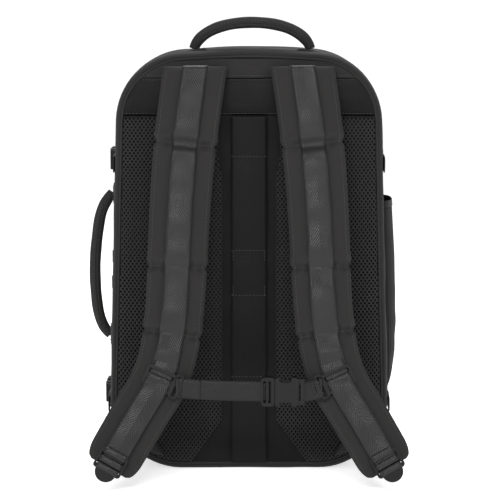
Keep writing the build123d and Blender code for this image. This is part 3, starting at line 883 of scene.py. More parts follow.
def middle_column():
    """Plain cloth between the back pads, darkened as painted shade, with wide webbing sewn down its middle,
    also darkened as painted shade.
    """
    rows = []
    for z in np.linspace(5 * MM, BAND_LOW_Z, 120):
        half = column_half(z) + 1.5 * MM
        x = np.linspace(-half, half, 20)
        rows.append(xyz(x, column_y(x, z), z))
    # The column's cloth is darkened: painted shade between the straps.
    column = grid_piece("column_cloth_painted_shade", np.array(rows), COLUMN_CLOTH_PAINTED_SHADE)
    place(column, "bag", "centre_panel", slot="shell_fabric")
    heights = np.linspace(9 * MM, BAND_LOW_Z - 0.5 * MM, 130)
    near = np.min(np.abs(heights[:, None] - COLUMN_SEAM_HEIGHTS[None]), axis=1)
    lift = 0.5 * MM + 1.6 * MM * (1 - np.exp(-((near / (16 * MM)) ** 2)))
    path = xyz(0.0, PANEL_Y - 2.2 * MM - lift, heights)[::-1]
    _, across, out = frames_along(path, (0, -1, 0))
    # The centre webbing is darkened: painted shade between the straps.
    webbing = ribbon("wide_webbing", path, across, out, WIDE_WEBBING, WIDE_WEB_PAINTED_SHADE, across_steps=12)
    half, seam_y = WIDE_WEBBING / 2, PANEL_Y - 4.8 * MM
    low, high = COLUMN_SEAM_HEIGHTS[2], COLUMN_SEAM_HEIGHTS[1]
    runs = [[(-half, seam_y, z), (half, seam_y, z)] for z in COLUMN_SEAM_HEIGHTS]
    runs += [[(x, seam_y, low), (x, seam_y, high)] for x in (-half + 2.5 * MM, half - 2.5 * MM)]
    threads = [stitches(run, (0, -1, 0)) for run in runs]
    place(webbing, "bag", "centre_webbing", slot="webbing")
    place(join("wide_webbing_stitches", threads), "bag", slot="webbing")


def back_trim():
    """Band and yoke above the pads, and the piping round the panel."""
    band = clipped_panel("herringbone_band", BAND_WEB, BAND_LOW_Z, BAND_HIGH_Z, band_y, depth=0.25 * MM)
    place(band, "bag", "top_band", slot="webbing")
    yoke = clipped_panel("yoke_cloth", CLOTH, BAND_HIGH_Z, 510.2 * MM, yoke_y, steps=(160, 16),
                         depth=0.5 * MM)
    place(yoke, "bag", "yoke", slot="shell_fabric")
    ring = ring_at(7.4 * MM, PANEL_Y - 1.0 * MM)
    loop = np.vstack([ring, ring[:2]])
    piping = tube("panel_piping", spaced(loop, 500), 1.7 * MM, PIPING_CLOTH, sides=10, caps=False)
    place(piping, "bag", "rim_piping", slot="binding")
    threads = []
    for z, face_y in ((BAND_LOW_Z + 2.5 * MM, band_y), (BAND_HIGH_Z - 2.5 * MM, band_y),
                      (BAND_HIGH_Z + 2.5 * MM, yoke_y)):
        half = outline_half(11 * MM, z)
        x = np.linspace(-half, half, 120)
        threads.append(stitches(xyz(x, face_y(x, z) - 0.2 * MM, z), (0, -1, 0)))
    place(join("band_stitches", threads), "bag", slot="webbing")


# ---------------------------------------------------------------- shoulder straps
class StrapLine:
    """Middle line of one strap, with its across and outward directions."""

    def __init__(self, side, count=160):
        front = smooth_line(np.array(STRAP_FRONT) * MM, 400)
        depth = smooth_line(np.array(STRAP_SIDE) * MM, 400)
        heights = np.linspace(STRAP_TOP_Z, STRAP_LOW_Z, 600)
        x = np.interp(heights, front[::-1, 1], front[::-1, 0])
        y = np.interp(heights, depth[::-1, 1], depth[::-1, 0])
        self.side = side
        self.path = spaced(xyz(side * x, y, heights), count)
        self.way = unit(np.gradient(self.path, axis=0))
        self.out = unit(xyz(0.0, self.way[:, 2], -self.way[:, 1]))
        walked = lengths_along(self.path)
        square = np.exp(-((walked / (45 * MM)) ** 2))[:, None]
        self.across = unit(np.cross(self.out, self.way) * (1 - square) + np.array([1.0, 0, 0]) * square)
        self.length = walked[-1]
        self.front = None  # the pad's front as a grid of points, once the pad is made

    def at_height(self, z):
        """Fraction along the strap at a height."""
        return np.interp(-z, -self.path[:, 2], np.linspace(0, 1, len(self.path)))

    def read(self, t):
        """Point, way, across and outward at fractions t."""
        t = np.atleast_1d(t)
        marks = np.linspace(0, 1, len(self.path))
        return [np.stack([np.interp(t, marks, array[:, k]) for k in range(3)], axis=1)
                for array in (self.path, self.way, self.across, self.out)]

    def matrix(self, z, lift):
        """Local frame on the strap: X across, Y up along it, Z outward."""
        point, way, across, out = (part[0] for part in self.read(self.at_height(z)))
        rotation = Matrix((across, -way, out)).transposed()
        return Matrix.Translation(Vector(point + out * lift)) @ rotation.to_4x4()


STRAPS = {word: StrapLine(side) for side, word in SIDES}
TACK_HEIGHTS = np.array([488, 409, 262, 183, 140]) * MM
SEAM_HEIGHTS = np.array([409, 262, 183]) * MM
TUCK_HEIGHTS = np.array([66, 52]) * MM  # where the strap webbing is folded and sewn above the lock


def half_width(t):
    """The strap tapers from top to bottom."""
    return STRAP_TOP_HALF_WIDTH + (STRAP_LOW_HALF_WIDTH - STRAP_TOP_HALF_WIDTH) * t


EVEN_COLUMNS = np.linspace(-1, 1, 25)
PAD_COLUMNS = np.sign(EVEN_COLUMNS) * np.abs(EVEN_COLUMNS) ** 0.85  # closer together at the pad's edges
PAD_ROWS = 190


def near_heights(line, t, heights):
    """Distance along the strap from each fraction t to the nearest of some heights."""
    marks = line.at_height(heights)
    return np.min(np.abs(np.asarray(t)[:, None] - marks[None]), axis=1) * line.length


def above_seams(line, t, reach):
    """1 just above each cross seam, where the padding bunches up, fading over reach."""
    marks = line.at_height(SEAM_HEIGHTS)
    gap = (marks[None] - np.asarray(t)[:, None]) * line.length
    return np.max(np.where(gap > 0, np.exp(-(((gap - reach) / reach) ** 2)), 0), axis=1)


def pad_thickness(line, t):
    """Half thickness along the pad: pinched at its cross seams, full above them, round at both ends."""
    along = np.asarray(t) * line.length
    seams = 1 - 0.74 * np.exp(-((near_heights(line, t, SEAM_HEIGHTS) / (4.2 * MM)) ** 2))
    bunched = 1 + 0.24 * above_seams(line, t, 9 * MM)
    high_end = np.sqrt(np.clip(1 - (1 - np.clip(along / (12 * MM), 0, 1)) ** 2, 0.12, 1))
    low_end = np.sqrt(np.clip(1 - (1 - np.clip((line.length - along) / (16 * MM), 0, 1)) ** 2, 0.2, 1))
    return 0.93 * STRAP_THICKNESS / 2 * seams * bunched * high_end * low_end


def pad_half_width(line, t):
    """The pad narrows at its cross seams, bulges above them and rounds off at its low end."""
    near = near_heights(line, t, SEAM_HEIGHTS)
    left = np.clip((1 - np.asarray(t)) * line.length / (22 * MM), 0, 1)
    end = 0.72 + 0.28 * np.sqrt(1 - (1 - left) ** 2)
    sewn = 1 - 0.06 * np.exp(-((near / (4 * MM)) ** 2)) + 0.03 * above_seams(line, t, 7 * MM)
    return half_width(np.asarray(t)) * end * sewn


def strap_pad(line, word):
    """The padded strap: swollen by a cloth simulation that its edges and cross seams hold."""
    t = np.linspace(0, 1, PAD_ROWS)
    point, _, across, out = line.read(t)
    thick = pad_thickness(line, t)
    half = pad_half_width(line, t)
    rise = 0.10 + 0.90 * (1 - np.abs(PAD_COLUMNS) ** 3.2) ** 0.6
    front = np.stack([PAD_COLUMNS, rise], axis=1)
    shape = np.vstack([front, front[::-1] * (1, -1)])  # the pad's section: front, then back
    near = near_heights(line, t, SEAM_HEIGHTS)
    sides, along = shape[None, :, 0], t[:, None]
    folds = np.sin(sides * 11.0 + along * 120) + 0.6 * np.sin(sides * 19.0 - along * 75)
    pucker = 1.3 * MM * np.exp(-((near / (12 * MM)) ** 2))[:, None] * folds
    lift = shape[None, :, 1] * thick[:, None] + pucker * (shape[None, :, 1] > 0)
    grid = (point[:, None] + across[:, None] * (sides * half[:, None])[..., None]
            + out[:, None] * lift[..., None])
    pad = grid_piece(f"strap_pad_cloth_{word}", grid, STRAP_CLOTH, closed=True, flip=True, caps=True)
    seams = np.exp(-((near / (4 * MM)) ** 2))[:, None]
    edges = (np.abs(shape[:, 0]) > 0.93)[None]
    ends = (np.minimum(t, 1 - t) < 0.012)[:, None]
    inflate(pad, np.maximum(np.maximum(seams, edges), ends).ravel(), pressure=4.0, cap=3.0 * MM)
    grid = points_of(pad).reshape(PAD_ROWS, len(shape), 3)
    line.front = grid[:, :len(PAD_COLUMNS)]
    return pad


def inflate(piece, held, pressure, cap, frames=20):
    """Swells a closed piece by a cloth simulation.

    held is 1 where the sewing holds it and 0 where it is free; cap is the largest move.
    """
    group = piece.vertex_groups.new(name="held")
    for index, weight in enumerate(held):
        group.add([index], float(weight), "REPLACE")
    cloth = piece.modifiers.new("Cloth", "CLOTH")
    fabric = {"quality": 6, "mass": 0.3, "tension_stiffness": 12, "compression_stiffness": 12,
              "bending_stiffness": 0.3, "vertex_group_mass": "held", "use_pressure": True,
              "uniform_pressure_force": pressure}
    for key, value in fabric.items():
        setattr(cloth.settings, key, value)
    cloth.settings.effector_weights.gravity = 0
    cloth.point_cache.frame_start = 1
    cloth.point_cache.frame_end = frames
    before = points_of(piece)
    for frame_number in range(1, frames + 1):
        bpy.context.scene.frame_set(frame_number)
    swollen = piece.evaluated_get(bpy.context.evaluated_depsgraph_get())
    move = points_of(swollen) - before
    size = np.linalg.norm(move, axis=1, keepdims=True)
    move *= np.tanh(size / cap) * cap / np.maximum(size, 1e-9)
    piece.modifiers.remove(cloth)
    piece.data.vertices.foreach_set("co", (before + move).ravel())
    piece.vertex_groups.remove(group)
    piece.data.update()
    bpy.context.scene.frame_set(1)


def strap_surface(line, t, c, lift=0.0):
    """Point on the front of the pad at fraction t along and c across, from -1 to 1."""
    t = np.atleast_1d(np.asarray(t, float))
    c = np.broadcast_to(np.asarray(c, float), t.shape)
    row = np.clip(t, 0, 1) * (PAD_ROWS - 1)
    column = np.interp(c, PAD_COLUMNS, np.arange(len(PAD_COLUMNS)))
    i = np.minimum(row.astype(int), PAD_ROWS - 2)
    j = np.minimum(column.astype(int), len(PAD_COLUMNS) - 2)
    a, b = (row - i)[:, None], (column - j)[:, None]
    face = line.front
    at = ((face[i, j] * (1 - b) + face[i, j + 1] * b) * (1 - a)
          + (face[i + 1, j] * (1 - b) + face[i + 1, j + 1] * b) * a)
    return at + line.read(t)[3] * lift


def strap_webbing(line, word):
    """The strap's webbing, tacked to the pad and free between its tacks, and all of the strap's thread."""
    t = np.linspace(0.0, 0.985, 210)
    near = near_heights(line, t, TACK_HEIGHTS)
    free = 1 - np.exp(-((near / (15 * MM)) ** 2))
    wave = (3.6 * MM + 0.9 * MM * np.sin(t * 58 + line.side)) * free
    middle = strap_surface(line, t, 0.0, 1.0 * MM)
    for _ in range(3):
        middle[1:-1] = (middle[:-2] + 2 * middle[1:-1] + middle[2:]) / 4
    _, _, across, out = line.read(t)
    path = middle + out * wave[:, None]
    band = ribbon(f"strap_webbing_band_{word}", path, across, out, WEBBING, WEB, across_steps=10)
    body = f"strap_{word}"
    place(band, body, f"strap_webbing_{word}", slot="webbing")
    threads = []
    edge = WEBBING / 2 - 2.2 * MM
    for height in np.concatenate([TACK_HEIGHTS, TUCK_HEIGHTS]):
        at = line.at_height(height)
        _, way, side_way, outward = (part[0] for part in line.read(at))
        base = strap_surface(line, at, 0.0, 2.5 * MM)[0]
        for shift in (-2.0 * MM, 2.0 * MM):
            ends = [base + way * shift - side_way * edge, base + way * shift + side_way * edge]
            threads.append(stitches(ends, outward))
    for height in SEAM_HEIGHTS:
        at = line.at_height(height)
        for low, high in ((-0.95, -0.42), (0.42, 0.95)):
            c = np.linspace(low, high, 12)
            points = strap_surface(line, np.full(12, at), c, 0.1 * MM)
            threads.append(stitches(points, line.read(at)[3][0]))
    fine = np.linspace(0.012, 0.975, 400)
    for c in (-0.88, 0.88):
        threads.append(stitches(strap_surface(line, fine, c, 0.05 * MM), line.read(fine)[3]))
    place(join(f"strap_stitches_{word}", threads), body, slot="webbing")


def straps():
    for side, word in SIDES:
        line = STRAPS[word]
        pad = strap_pad(line, word)
        place(pad, f"strap_{word}", f"strap_pad_{word}", slot="shell_fabric")
        strap_webbing(line, word)


# ---------------------------------------------------------------- small soft and hard pieces
def dress(node, material, bevel=0.5 * MM):
    """Gives a hard node of the frame its material and softly moulded edges."""
    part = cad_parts[node]
    part.data.materials.clear()
    part.data.materials.append(material)
    rounding = part.modifiers.new("Rounding", "BEVEL")
    rounding.width = bevel
    rounding.segments = 3
    rounding.limit_method = "ANGLE"


def soft_patch(centre, across, along, width, length, rise=2.6 * MM, power=5.0):
    """A sewn cloth patch: flat in its middle, its edges turned down to the surface under it."""
    centre, across, along = (np.asarray(v, float) for v in (centre, across, along))
    out = unit(np.cross(across, along))
    steps = np.sin(np.linspace(-math.pi / 2, math.pi / 2, 15))
    a, b = np.meshgrid(steps, steps)
    height = np.clip((1 - np.abs(a) ** power) * (1 - np.abs(b) ** power), 0, 1) ** 0.5 * rise
    grid = (centre + across * (a * width / 2)[..., None] + along * (b * length / 2)[..., None]
            + out * height[..., None])
    return grid_piece("patch", grid, CLOTH)


def box_stitches(centre, across, along, width, length, lift):
    """Stitches round a rectangle and along its two diagonals."""
    centre, across, along = (np.asarray(v, float) for v in (centre, across, along))
    out = unit(np.cross(across, along))
    corners = [centre + across * x * width / 2 + along * y * length / 2 + out * lift
               for x, y in ((-1, -1), (1, -1), (1, 1), (-1, 1))]
    runs = [(0, 1), (1, 2), (2, 3), (3, 0), (0, 2), (1, 3)]
    return [stitches([corners[a], corners[b]], out) for a, b in runs]


TOOTH_PITCH = 2.0 * MM
TOOTH_SIZE = np.array([1.5, 1.1, 1.2]) * MM  # across the zip, along it and out of it


def zip_teeth(name, path, across, out, offset=0.0):
    """Zip teeth: one small block for each pitch of a path, reaching across it."""
    count = int(lengths_along(path)[-1] / TOOTH_PITCH)
    fine = spaced(path, count + 1)
    way = unit(np.gradient(fine, axis=0))
    outs = np.broadcast_to(out, fine.shape) if np.ndim(out) == 1 else spaced(out, count + 1)
    sides = np.broadcast_to(across, fine.shape)
    deep, long, high = TOOTH_SIZE / 2
    verts, faces = [], []
    for point, tooth_way, tooth_out, side in zip(fine + way * offset, way, outs, sides):
        base = len(verts)
        for sign in (-1, 1):
            for x, y in ((-deep, -high), (deep, -high), (deep * 0.8, high), (-deep * 0.8, high)):
                verts.append(point + side * x + tooth_out * y + tooth_way * long * sign)
        for k in range(4):
            after = (k + 1) % 4
            faces.append((base + k, base + after, base + 4 + after, base + 4 + k))
        faces += [tuple(base + k for k in (3, 2, 1, 0)), tuple(base + 4 + k for k in range(4))]
    return mesh_object(name, verts, faces, COIL, np.zeros((len(verts), 2)), smooth=False)


def wrap(matrix, middle, half_height, half_depth, width, material):
    """Webbing folded round a bar of a plastic lock, in the lock's own plane."""
    angles = np.linspace(0, 2 * math.pi, 20, endpoint=False)
    rows = []
    for x in np.linspace(-width / 2, width / 2, 9):
        row = []
        for angle in angles:
            y = middle + half_height * np.sign(math.cos(angle)) * abs(math.cos(angle)) ** 0.7
            z = half_depth * np.sign(math.sin(angle)) * abs(math.sin(angle)) ** 0.7
            row.append(matrix @ Vector((x, y, z)))
        rows.append(row)
    piece = grid_piece("fold", np.array(rows), material, closed=True, caps=True)
    layer = piece.data.uv_layers[0].data
    flat = np.empty(len(layer) * 2)
    layer.foreach_get("uv", flat)
    layer.foreach_set("uv", flat.reshape(-1, 2)[:, ::-1].ravel())
    return piece


# ---------------------------------------------------------------- handles
def padded_handle(name, points, outward, body, node):
    """Padded cloth tube with a sewn seam along both sides."""
    path = smooth_line(points, 90)
    walked = lengths_along(path)
    ends = np.minimum(walked, walked[-1] - walked)
    radius = HANDLE_RADIUS * (0.86 + 0.14 * np.clip(ends / (16 * MM), 0, 1))
    radius = radius * (1 + 0.015 * np.sin(walked / (5.5 * MM)))
    bar = tube(name, path, radius, CLOTH, sides=24, outward=outward, flat=0.94)
    place(bar, body, node, slot="handle_fabric")
    _, across, out = frames_along(path, outward)
    sewn = slice(HANDLE_END_POINTS, -HANDLE_END_POINTS)
    seam = path + out * (0.93 * HANDLE_RADIUS)
    welt = tube(f"{name}_welt", seam[sewn], 0.9 * MM, PIPING_CLOTH, sides=8, outward=outward)
    place(welt, body, slot="binding")
    threads = []
    for side in (-1, 1):
        leaning = across * side * 0.42 + out * 0.84
        threads.append(stitches((path + leaning * HANDLE_RADIUS)[sewn], unit(leaning)[sewn]))
    place(join(f"{name}_stitches", threads), body, slot="webbing")


def handles():
    """The top and side handles and the patches at their ends."""
    arch = [(-x, z) for x, z in TOP_HANDLE_HALF[:0:-1]] + TOP_HANDLE_HALF
    top = [(TOP_HANDLE_X + x * MM, TOP_HANDLE_Y, z * MM) for x, z in arch]
    padded_handle("top_handle_bar", top, (0, -1, 0), "top_handle", "top_handle")
    side = [(x * MM, SIDE_HANDLE_Y, z * MM) for x, z in SIDE_HANDLE]
    padded_handle("side_handle_bar", side, (0, -1, 0), "side_handle", "side_handle")
    crown = [((x, TOP_HANDLE_Y, crown_z(x) + 0.2 * MM), unit(np.array([1.0, 0, slope])), (0, 1, 0))
             for x, slope in ((TOP_HANDLE_X - 70 * MM, 0.126), (TOP_HANDLE_X + 70 * MM, -0.126))]
    handle_patches("top_handle", crown, 30 * MM, 26 * MM)
    flank = [((-side_x(z) - 1.6 * MM, SIDE_HANDLE_Y, z), (0, -1, 0), (0, 0, 1)) for z in (162 * MM, 340 * MM)]
    handle_patches("side_handle", flank, 26 * MM, 30 * MM)


def handle_patches(name, spots, width, length):
    """The sewn patches at a handle's ends; each spot is its (centre, across, along)."""
    patches, threads = [], []
    for centre, across, along in spots:
        patches.append(soft_patch(centre, across, along, width, length))
        threads += box_stitches(centre, across, along, width - 6 * MM, length - 6 * MM, 2.5 * MM)
    place(join(f"{name}_patches", patches), "bag", f"{name}_anchors", slot="handle_fabric")
    place(join(f"{name}_patch_stitches", threads), "bag", slot="webbing")


def crown_z(x):
    """Height of the bag's top over its crowned middle."""
    ring = bag_ring(0.0)
    top = ring[ring[:, 1] > 0.45]
    order = np.argsort(top[:, 0])
    return np.interp(x, top[order, 0], top[order, 1])


# ---------------------------------------------------------------- bottle pocket
def pocket_x(y, z, lift=0.0):
    """The pocket hugs the bag's side at its edges and bulges between them."""
    across = (y + 33 * MM) / (41 * MM)
    up = (z - BOTTLE_POCKET_LOW_Z) / (BOTTLE_POCKET_HIGH_Z - BOTTLE_POCKET_LOW_Z)
    belly = np.clip(1 - np.abs(across) ** 3.0, 0, 1) ** 0.6
    rise = np.clip(up / 0.42, 0, 1)
    rise = np.sqrt(1 - (1 - rise) ** 2) * (1 - 0.18 * np.clip((up - 0.7) / 0.3, 0, 1))
    crease = 0.5 * MM * np.sin(z * 160 + y * 45) * np.exp(-((up - 0.25) / 0.22) ** 2)
    return side_x(z) + 1.6 * MM + (13.5 * MM + crease + lift) * belly * rise


def pocket_wall(name, z_low, z_high, lift, material, rows):
    """A stretch of the bottle pocket's wall between two heights."""
    y = np.linspace(8 * MM, -74 * MM, 42)
    z = np.linspace(z_low, z_high, rows)
    y_grid, z_grid = np.meshgrid(y, z)
    grid = xyz(pocket_x(y_grid, z_grid, lift), y_grid, z_grid)
    wall = grid_piece(name, grid, material, flip=True)
    return thickened(wall, 1.4 * MM)


def bottle_pocket():
    hem_z = BOTTLE_POCKET_HIGH_Z - 8 * MM
    wall = pocket_wall("pocket_cloth", BOTTLE_POCKET_LOW_Z, hem_z, 0.0, RIBBED, 90)
    place(wall, "bag", "bottle_pocket", slot="stretch_fabric")
    hem = pocket_wall("pocket_hem_band", hem_z, BOTTLE_POCKET_HIGH_Z, 0.7 * MM, BINDING, 8)
    place(hem, "bag", "bottle_pocket_hem", slot="binding")
    y = np.linspace(6 * MM, -72 * MM, 60)
    z = np.full_like(y, hem_z + 1.5 * MM)
    run = xyz(pocket_x(y, z, 0.9 * MM), y, z)
    place(stitches(run, (1, 0, 0), "pocket_hem_stitches"), "bag", slot="webbing")


# ---------------------------------------------------------------- chest strap and locks
def strap_locks():
    """Chest strap sliders and ladder locks with the webbing in them, and the straps' lower ends."""
    for side, word in SIDES:
        body = f"strap_{word}"
        line = STRAPS[word]
        dress(f"sternum_slider_{word}", PLASTIC)
        dress(f"ladder_lock_{word}", PLASTIC, 0.7 * MM)
        slider = line.matrix(SLIDER_Z, STRAP_THICKNESS / 2 + 2.4 * MM)
        band = [wrap(slider, 0.0, 4.4 * MM, 4.4 * MM, 29 * MM, WEB),
                wrap(slider, 17 * MM, 9 * MM, 2.2 * MM, 29 * MM, WEB)]
        place(join(f"slider_webbing_{word}", band), body, slot="webbing")
        lock = line.matrix(LOCK_Z, STRAP_THICKNESS / 2 + 4.5 * MM)
        folds = [wrap(lock, middle * MM, reach * MM, 3.8 * MM, 28 * MM, WEB)
                 for middle, reach in ((0.0, 4.6), (11.0, 5.0), (-9.0, 4.4))]
        place(join(f"lock_webbing_{word}", folds), f"ladder_lock_{word}", slot="webbing")
        lower_webbing(side, word, lock)
        strap_wing(side, word)


def lower_webbing(side, word, lock):
    """Webbing from behind the lock to the wing at the bag's corner."""
    start = np.array(lock @ Vector((0, 0, -8 * MM)))
    end = np.array([side * 146 * MM, PANEL_Y - 12 * MM, 62 * MM])
    middle = (start + end) / 2 - np.array([0, 0, 8 * MM])
    path = smooth_line([start, middle, end], 40)
    _, across, out = frames_along(path, (side * 0.5, -0.1, 1.0))
    band = ribbon(f"lower_webbing_band_{word}", path, across, out, STERNUM_WEBBING, SLIM_WEB)
    bridge(band, [f"lower_webbing_{word}"])


def strap_wing(side, word):
    """Triangular cloth wing sewn into the lower corner."""
    outline = np.array([(106, 18), (148, 32), (161, 80), (152, 95), (126, 60)]) * MM
    verts = []
    layers = ((1.0, 8.0), (1.0, 11.0), (0.94, 12.6), (0.5, 13.0))
    middle = outline.mean(axis=0)
    loop = spaced(np.vstack([outline, outline[:1]]), 41)[:-1]
    for scale, depth in layers:
        flat = middle + (loop - middle) * scale
        verts.append(xyz(side * flat[:, 0], PANEL_Y - depth * MM, flat[:, 1]))
    wing = grid_piece(f"strap_wing_{word}", np.array(verts), CLOTH, closed=True, flip=side > 0, caps=True)
    place(welded(wing), "bag", f"strap_anchor_{word}", slot="shell_fabric")


UPRIGHT = Matrix(((0, 1, 0, 0), (0, 0, -1, 0), (-1, 0, 0, 0), (0, 0, 0, 1)))  # turns a wrap's bar upright


def sternum_strap():
    """The chest strap: buckle and both webbings."""
    for part, bevel in (("female", 1.2), ("male", 0.8), ("arm_lower", 0.6), ("arm_upper", 0.6)):
        dress(f"sternum_buckle_{part}", PLASTIC, bevel * MM)
    inner_ends = {"left": BUCKLE_MOUTH_X - 9 * MM, "right": BUCKLE_MOUTH_X + 32 * MM}
    low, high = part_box("sternum_buckle_female")
    front_y = (low[1] + high[1]) / 2
    for side, word in SIDES:
        line = STRAPS[word]
        slider = line.matrix(SLIDER_Z, STRAP_THICKNESS / 2 + 4.6 * MM)
        loop = np.array(slider @ Vector((-side * 24 * MM, 0, 0)))
        inner = np.array([inner_ends[word], front_y + 0.5 * MM, STERNUM_Z])
        quarter = loop + (inner - loop) * 0.3 + np.array([0, 1.0 * MM, -1.5 * MM])
        three = loop + (inner - loop) * 0.75 + np.array([0, 1.5 * MM, -1.0 * MM])
        path = smooth_line([loop, quarter, three, inner], 60)
        _, across, out = frames_along(path, (0, -1, 0))
        width = STERNUM_WEBBING - 1 * MM
        pieces = [ribbon("band", path, across, out, width, SLIM_WEB, across_steps=8)]
        doubled = slice(3, 16)
        fold = path[doubled] + out[doubled] * (1.9 * MM)
        pieces.append(ribbon("fold", fold, across[doubled], out[doubled], width - 0.4 * MM, SLIM_WEB,
                             across_steps=8))
        for point in (loop, inner):
            bar = Matrix.Translation(Vector(point)) @ UPRIGHT
            pieces.append(wrap(bar, 0.0, 2.6 * MM, 3.0 * MM, width, SLIM_WEB))
        band = join(f"chest_webbing_{word}", pieces)
        if word == "left":
            bridge(band, ["sternum_webbing_left"])
        else:
            place(band, "strap_right", "sternum_webbing_right", slot="webbing")
        tack = 11
        way = unit(path[tack + 1] - path[tack - 1])
        threads = box_stitches(path[tack] + out[tack] * 3.8 * MM, across[tack], way, 18 * MM, 8 * MM, 0.0)
        place(join(f"chest_stitches_{word}", threads), f"strap_{word}", slot="webbing")


# ---------------------------------------------------------------- compression straps
def side_ribbon(side, z, y_low, y_high):
    """Webbing along the bag's side from one depth to another."""
    y = np.linspace(y_low, y_high, 40)
    x = side * (side_x(z) + 1.7 * MM + 0.5 * MM * np.sin(y * 90))
    path = xyz(x, y, z)
    _, across, out = frames_along(path, (side, 0, 0))
    return ribbon("band", path, across, out, 20 * MM, SLIM_WEB)


def compression_straps():
    """Side straps: buckled on the left, one webbing crossing the hinge on the right."""
    for part, bevel in (("buckle_female", 0.9), ("buckle_male", 0.7), ("ladder_lock", 0.6)):
        dress(f"compression_{part}", PLASTIC, bevel * MM)
    backs = [side_ribbon(-1, z, -84 * MM, -8 * MM) for z in COMPRESSION_HEIGHTS]
    fronts = [side_ribbon(-1, z, 36 * MM, 66 * MM) for z in COMPRESSION_HEIGHTS]
    place(join("compression_band_left", backs), "bag", "compression_webbing_left", slot="webbing")
    place(join("compression_band_lid_left", fronts), "lid", "compression_webbing_lid_left", slot="webbing")
    crossings = [side_ribbon(1, z, -84 * MM, 66 * MM) for z in COMPRESSION_HEIGHTS]
    crossing = join("compression_band_right", crossings)
    nodes = ["compression_webbing_right", "compression_webbing_lid_right"]
    bridge(crossing, nodes)


# ---------------------------------------------------------------- zips and lid
def zip_line(y):
    """The zip's line, round the outline from one end of the hinge side to the other."""
    ring = ring_at(-0.2 * MM, y)
    ring = spaced(np.vstack([ring, ring[:1]]), 900)[:-1]
    x, z = ring[:, 0], ring[:, 2]
    hinged = (x > 140 * MM) & (z > HINGE_LOW_Z - 4 * MM) & (z < HINGE_HIGH_Z + 4 * MM)
    last = np.flatnonzero(hinged & ~np.roll(hinged, -1))[0]
    ring = np.roll(ring, -(last + 1), axis=0)
    return ring[:len(ring) - hinged.sum()]


def main_zip():
    """Tape, teeth, sliders and pulls of the zip round the lid."""
    halves = (("bag", "back", (13.4, 19.6), ZIP_Y - 0.8 * MM, 0.0),
              ("lid", "lid", (20.4, 26.8), ZIP_Y + 0.8 * MM, TOOTH_PITCH / 2))
    for body, word, edges, y, offset in halves:
        tape = shell(f"zip_tape_{word}", [(edge, 0.5) for edge in edges], TAPE, depth=0.0)
        place(tape, body, f"main_zip_tape_{word}", slot="zip_tape")
        loop = zip_line(y)
        outs = unit((loop - np.array([0, y, 260 * MM])) * np.array([1, 0, 1]))
        teeth = zip_teeth(f"zip_teeth_{word}", loop, np.array([0, 1.0, 0]), outs, offset)
        place(teeth, body, slot="zip_tape")
    for word in ("lower", "upper"):
        dress(f"main_zip_slider_{word}", ENAMEL, 1.0 * MM)
        dress(f"main_zip_pull_{word}", ENAMEL, 0.5 * MM)


def spine():
    """Cloth over the zip's end on the hinge side."""
    z = np.linspace(HINGE_LOW_Z, HINGE_HIGH_Z, 50)
    y = np.linspace(6 * MM, 34 * MM, 12)
    y_grid, z_grid = np.meshgrid(y, z)
    bow = 1.6 * MM * np.sqrt(np.clip(1 - ((y_grid - 20 * MM) / (14.2 * MM)) ** 2, 0, 1))
    grid = xyz(side_x(z_grid) + 0.6 * MM + bow, y_grid, z_grid)
    piece = grid_piece("spine_cloth", grid, CLOTH)
    bridge(piece)


POCKET_RING = bag_ring(28 * MM)


def pocket_face_y(x, z):
    """Front face of the lid's pocket: rounded at its edges, gently uneven."""
    points = np.stack([x, z], axis=1)
    inside, _ = ring_distance(POCKET_RING, points)
    inside = np.clip(np.minimum(inside, POCKET_TOP_Z - z) / (12 * MM), 0, 1)
    swell = 0.6 * MM * np.sin(x * 27) * np.sin(z * 19)
    return LID_Y + (POCKET_Y - LID_Y) * np.sqrt(1 - (1 - inside) ** 2) * 0.97 + swell * inside


def front_pocket():
    """The lid's outer pocket and the zip above it."""
    face = clipped_panel("front_pocket_cloth", CLOTH, 28.5 * MM, POCKET_TOP_Z, pocket_face_y, steps=(80, 110),
                         inset=28.2 * MM, flip=True)
    place(face, "lid", "front_pocket", slot="shell_fabric")
    x = np.linspace(-125 * MM, 125 * MM, 60)
    tape_path = xyz(x, lid_front_y(x, POCKET_ZIP_Z) + 0.2 * MM, POCKET_ZIP_Z)
    _, across, out = frames_along(tape_path, (0, 1, 0))
    tape = ribbon("pocket_zip_tape", tape_path, across, out, 14 * MM, TAPE, thickness=0.8 * MM)
    place(tape, "lid", "front_pocket_zip_tape", slot="zip_tape")
    teeth = []
    for shift in (-0.8 * MM, 0.8 * MM):
        row = tape_path + np.array([0, 1.1 * MM, shift])
        teeth.append(zip_teeth("row", row, np.array([0, 0, 1.0]), np.array([0, 1.0, 0]), shift * 0.6))
    place(join("pocket_zip_teeth", teeth), "lid", slot="zip_tape")
    dress("front_pocket_zip_slider", ENAMEL, 1.0 * MM)
    dress("front_pocket_zip_pull", ENAMEL, 0.5 * MM)


def inside():
    """The laptop divider in the back half and the mesh divider in the lid."""
    faces = []
    for y, flip in ((-60 * MM, False), (-54 * MM, True)):
        faces.append(clipped_panel("face", LINING, 14.5 * MM, 396 * MM, level(y), steps=(40, 60),
                                   inset=14 * MM, flip=flip))
    place(join("laptop_divider_cloth", faces), "bag", "laptop_divider", slot="lining")
    hem_path = xyz(np.linspace(-140, 140, 60), -57.0, 399.0) * MM
    hem = tube("divider_binding", hem_path, 4.0 * MM, BINDING, sides=14)
    place(hem, "bag", "divider_hem", slot="binding")
    divider = face_grid("lid_divider_net", AIR_MESH, 5.5 * MM, level(27.6 * MM), flip=True)
    place(thickened(divider, 0.9 * MM), "lid", "lid_mesh_divider", slot="air_mesh")


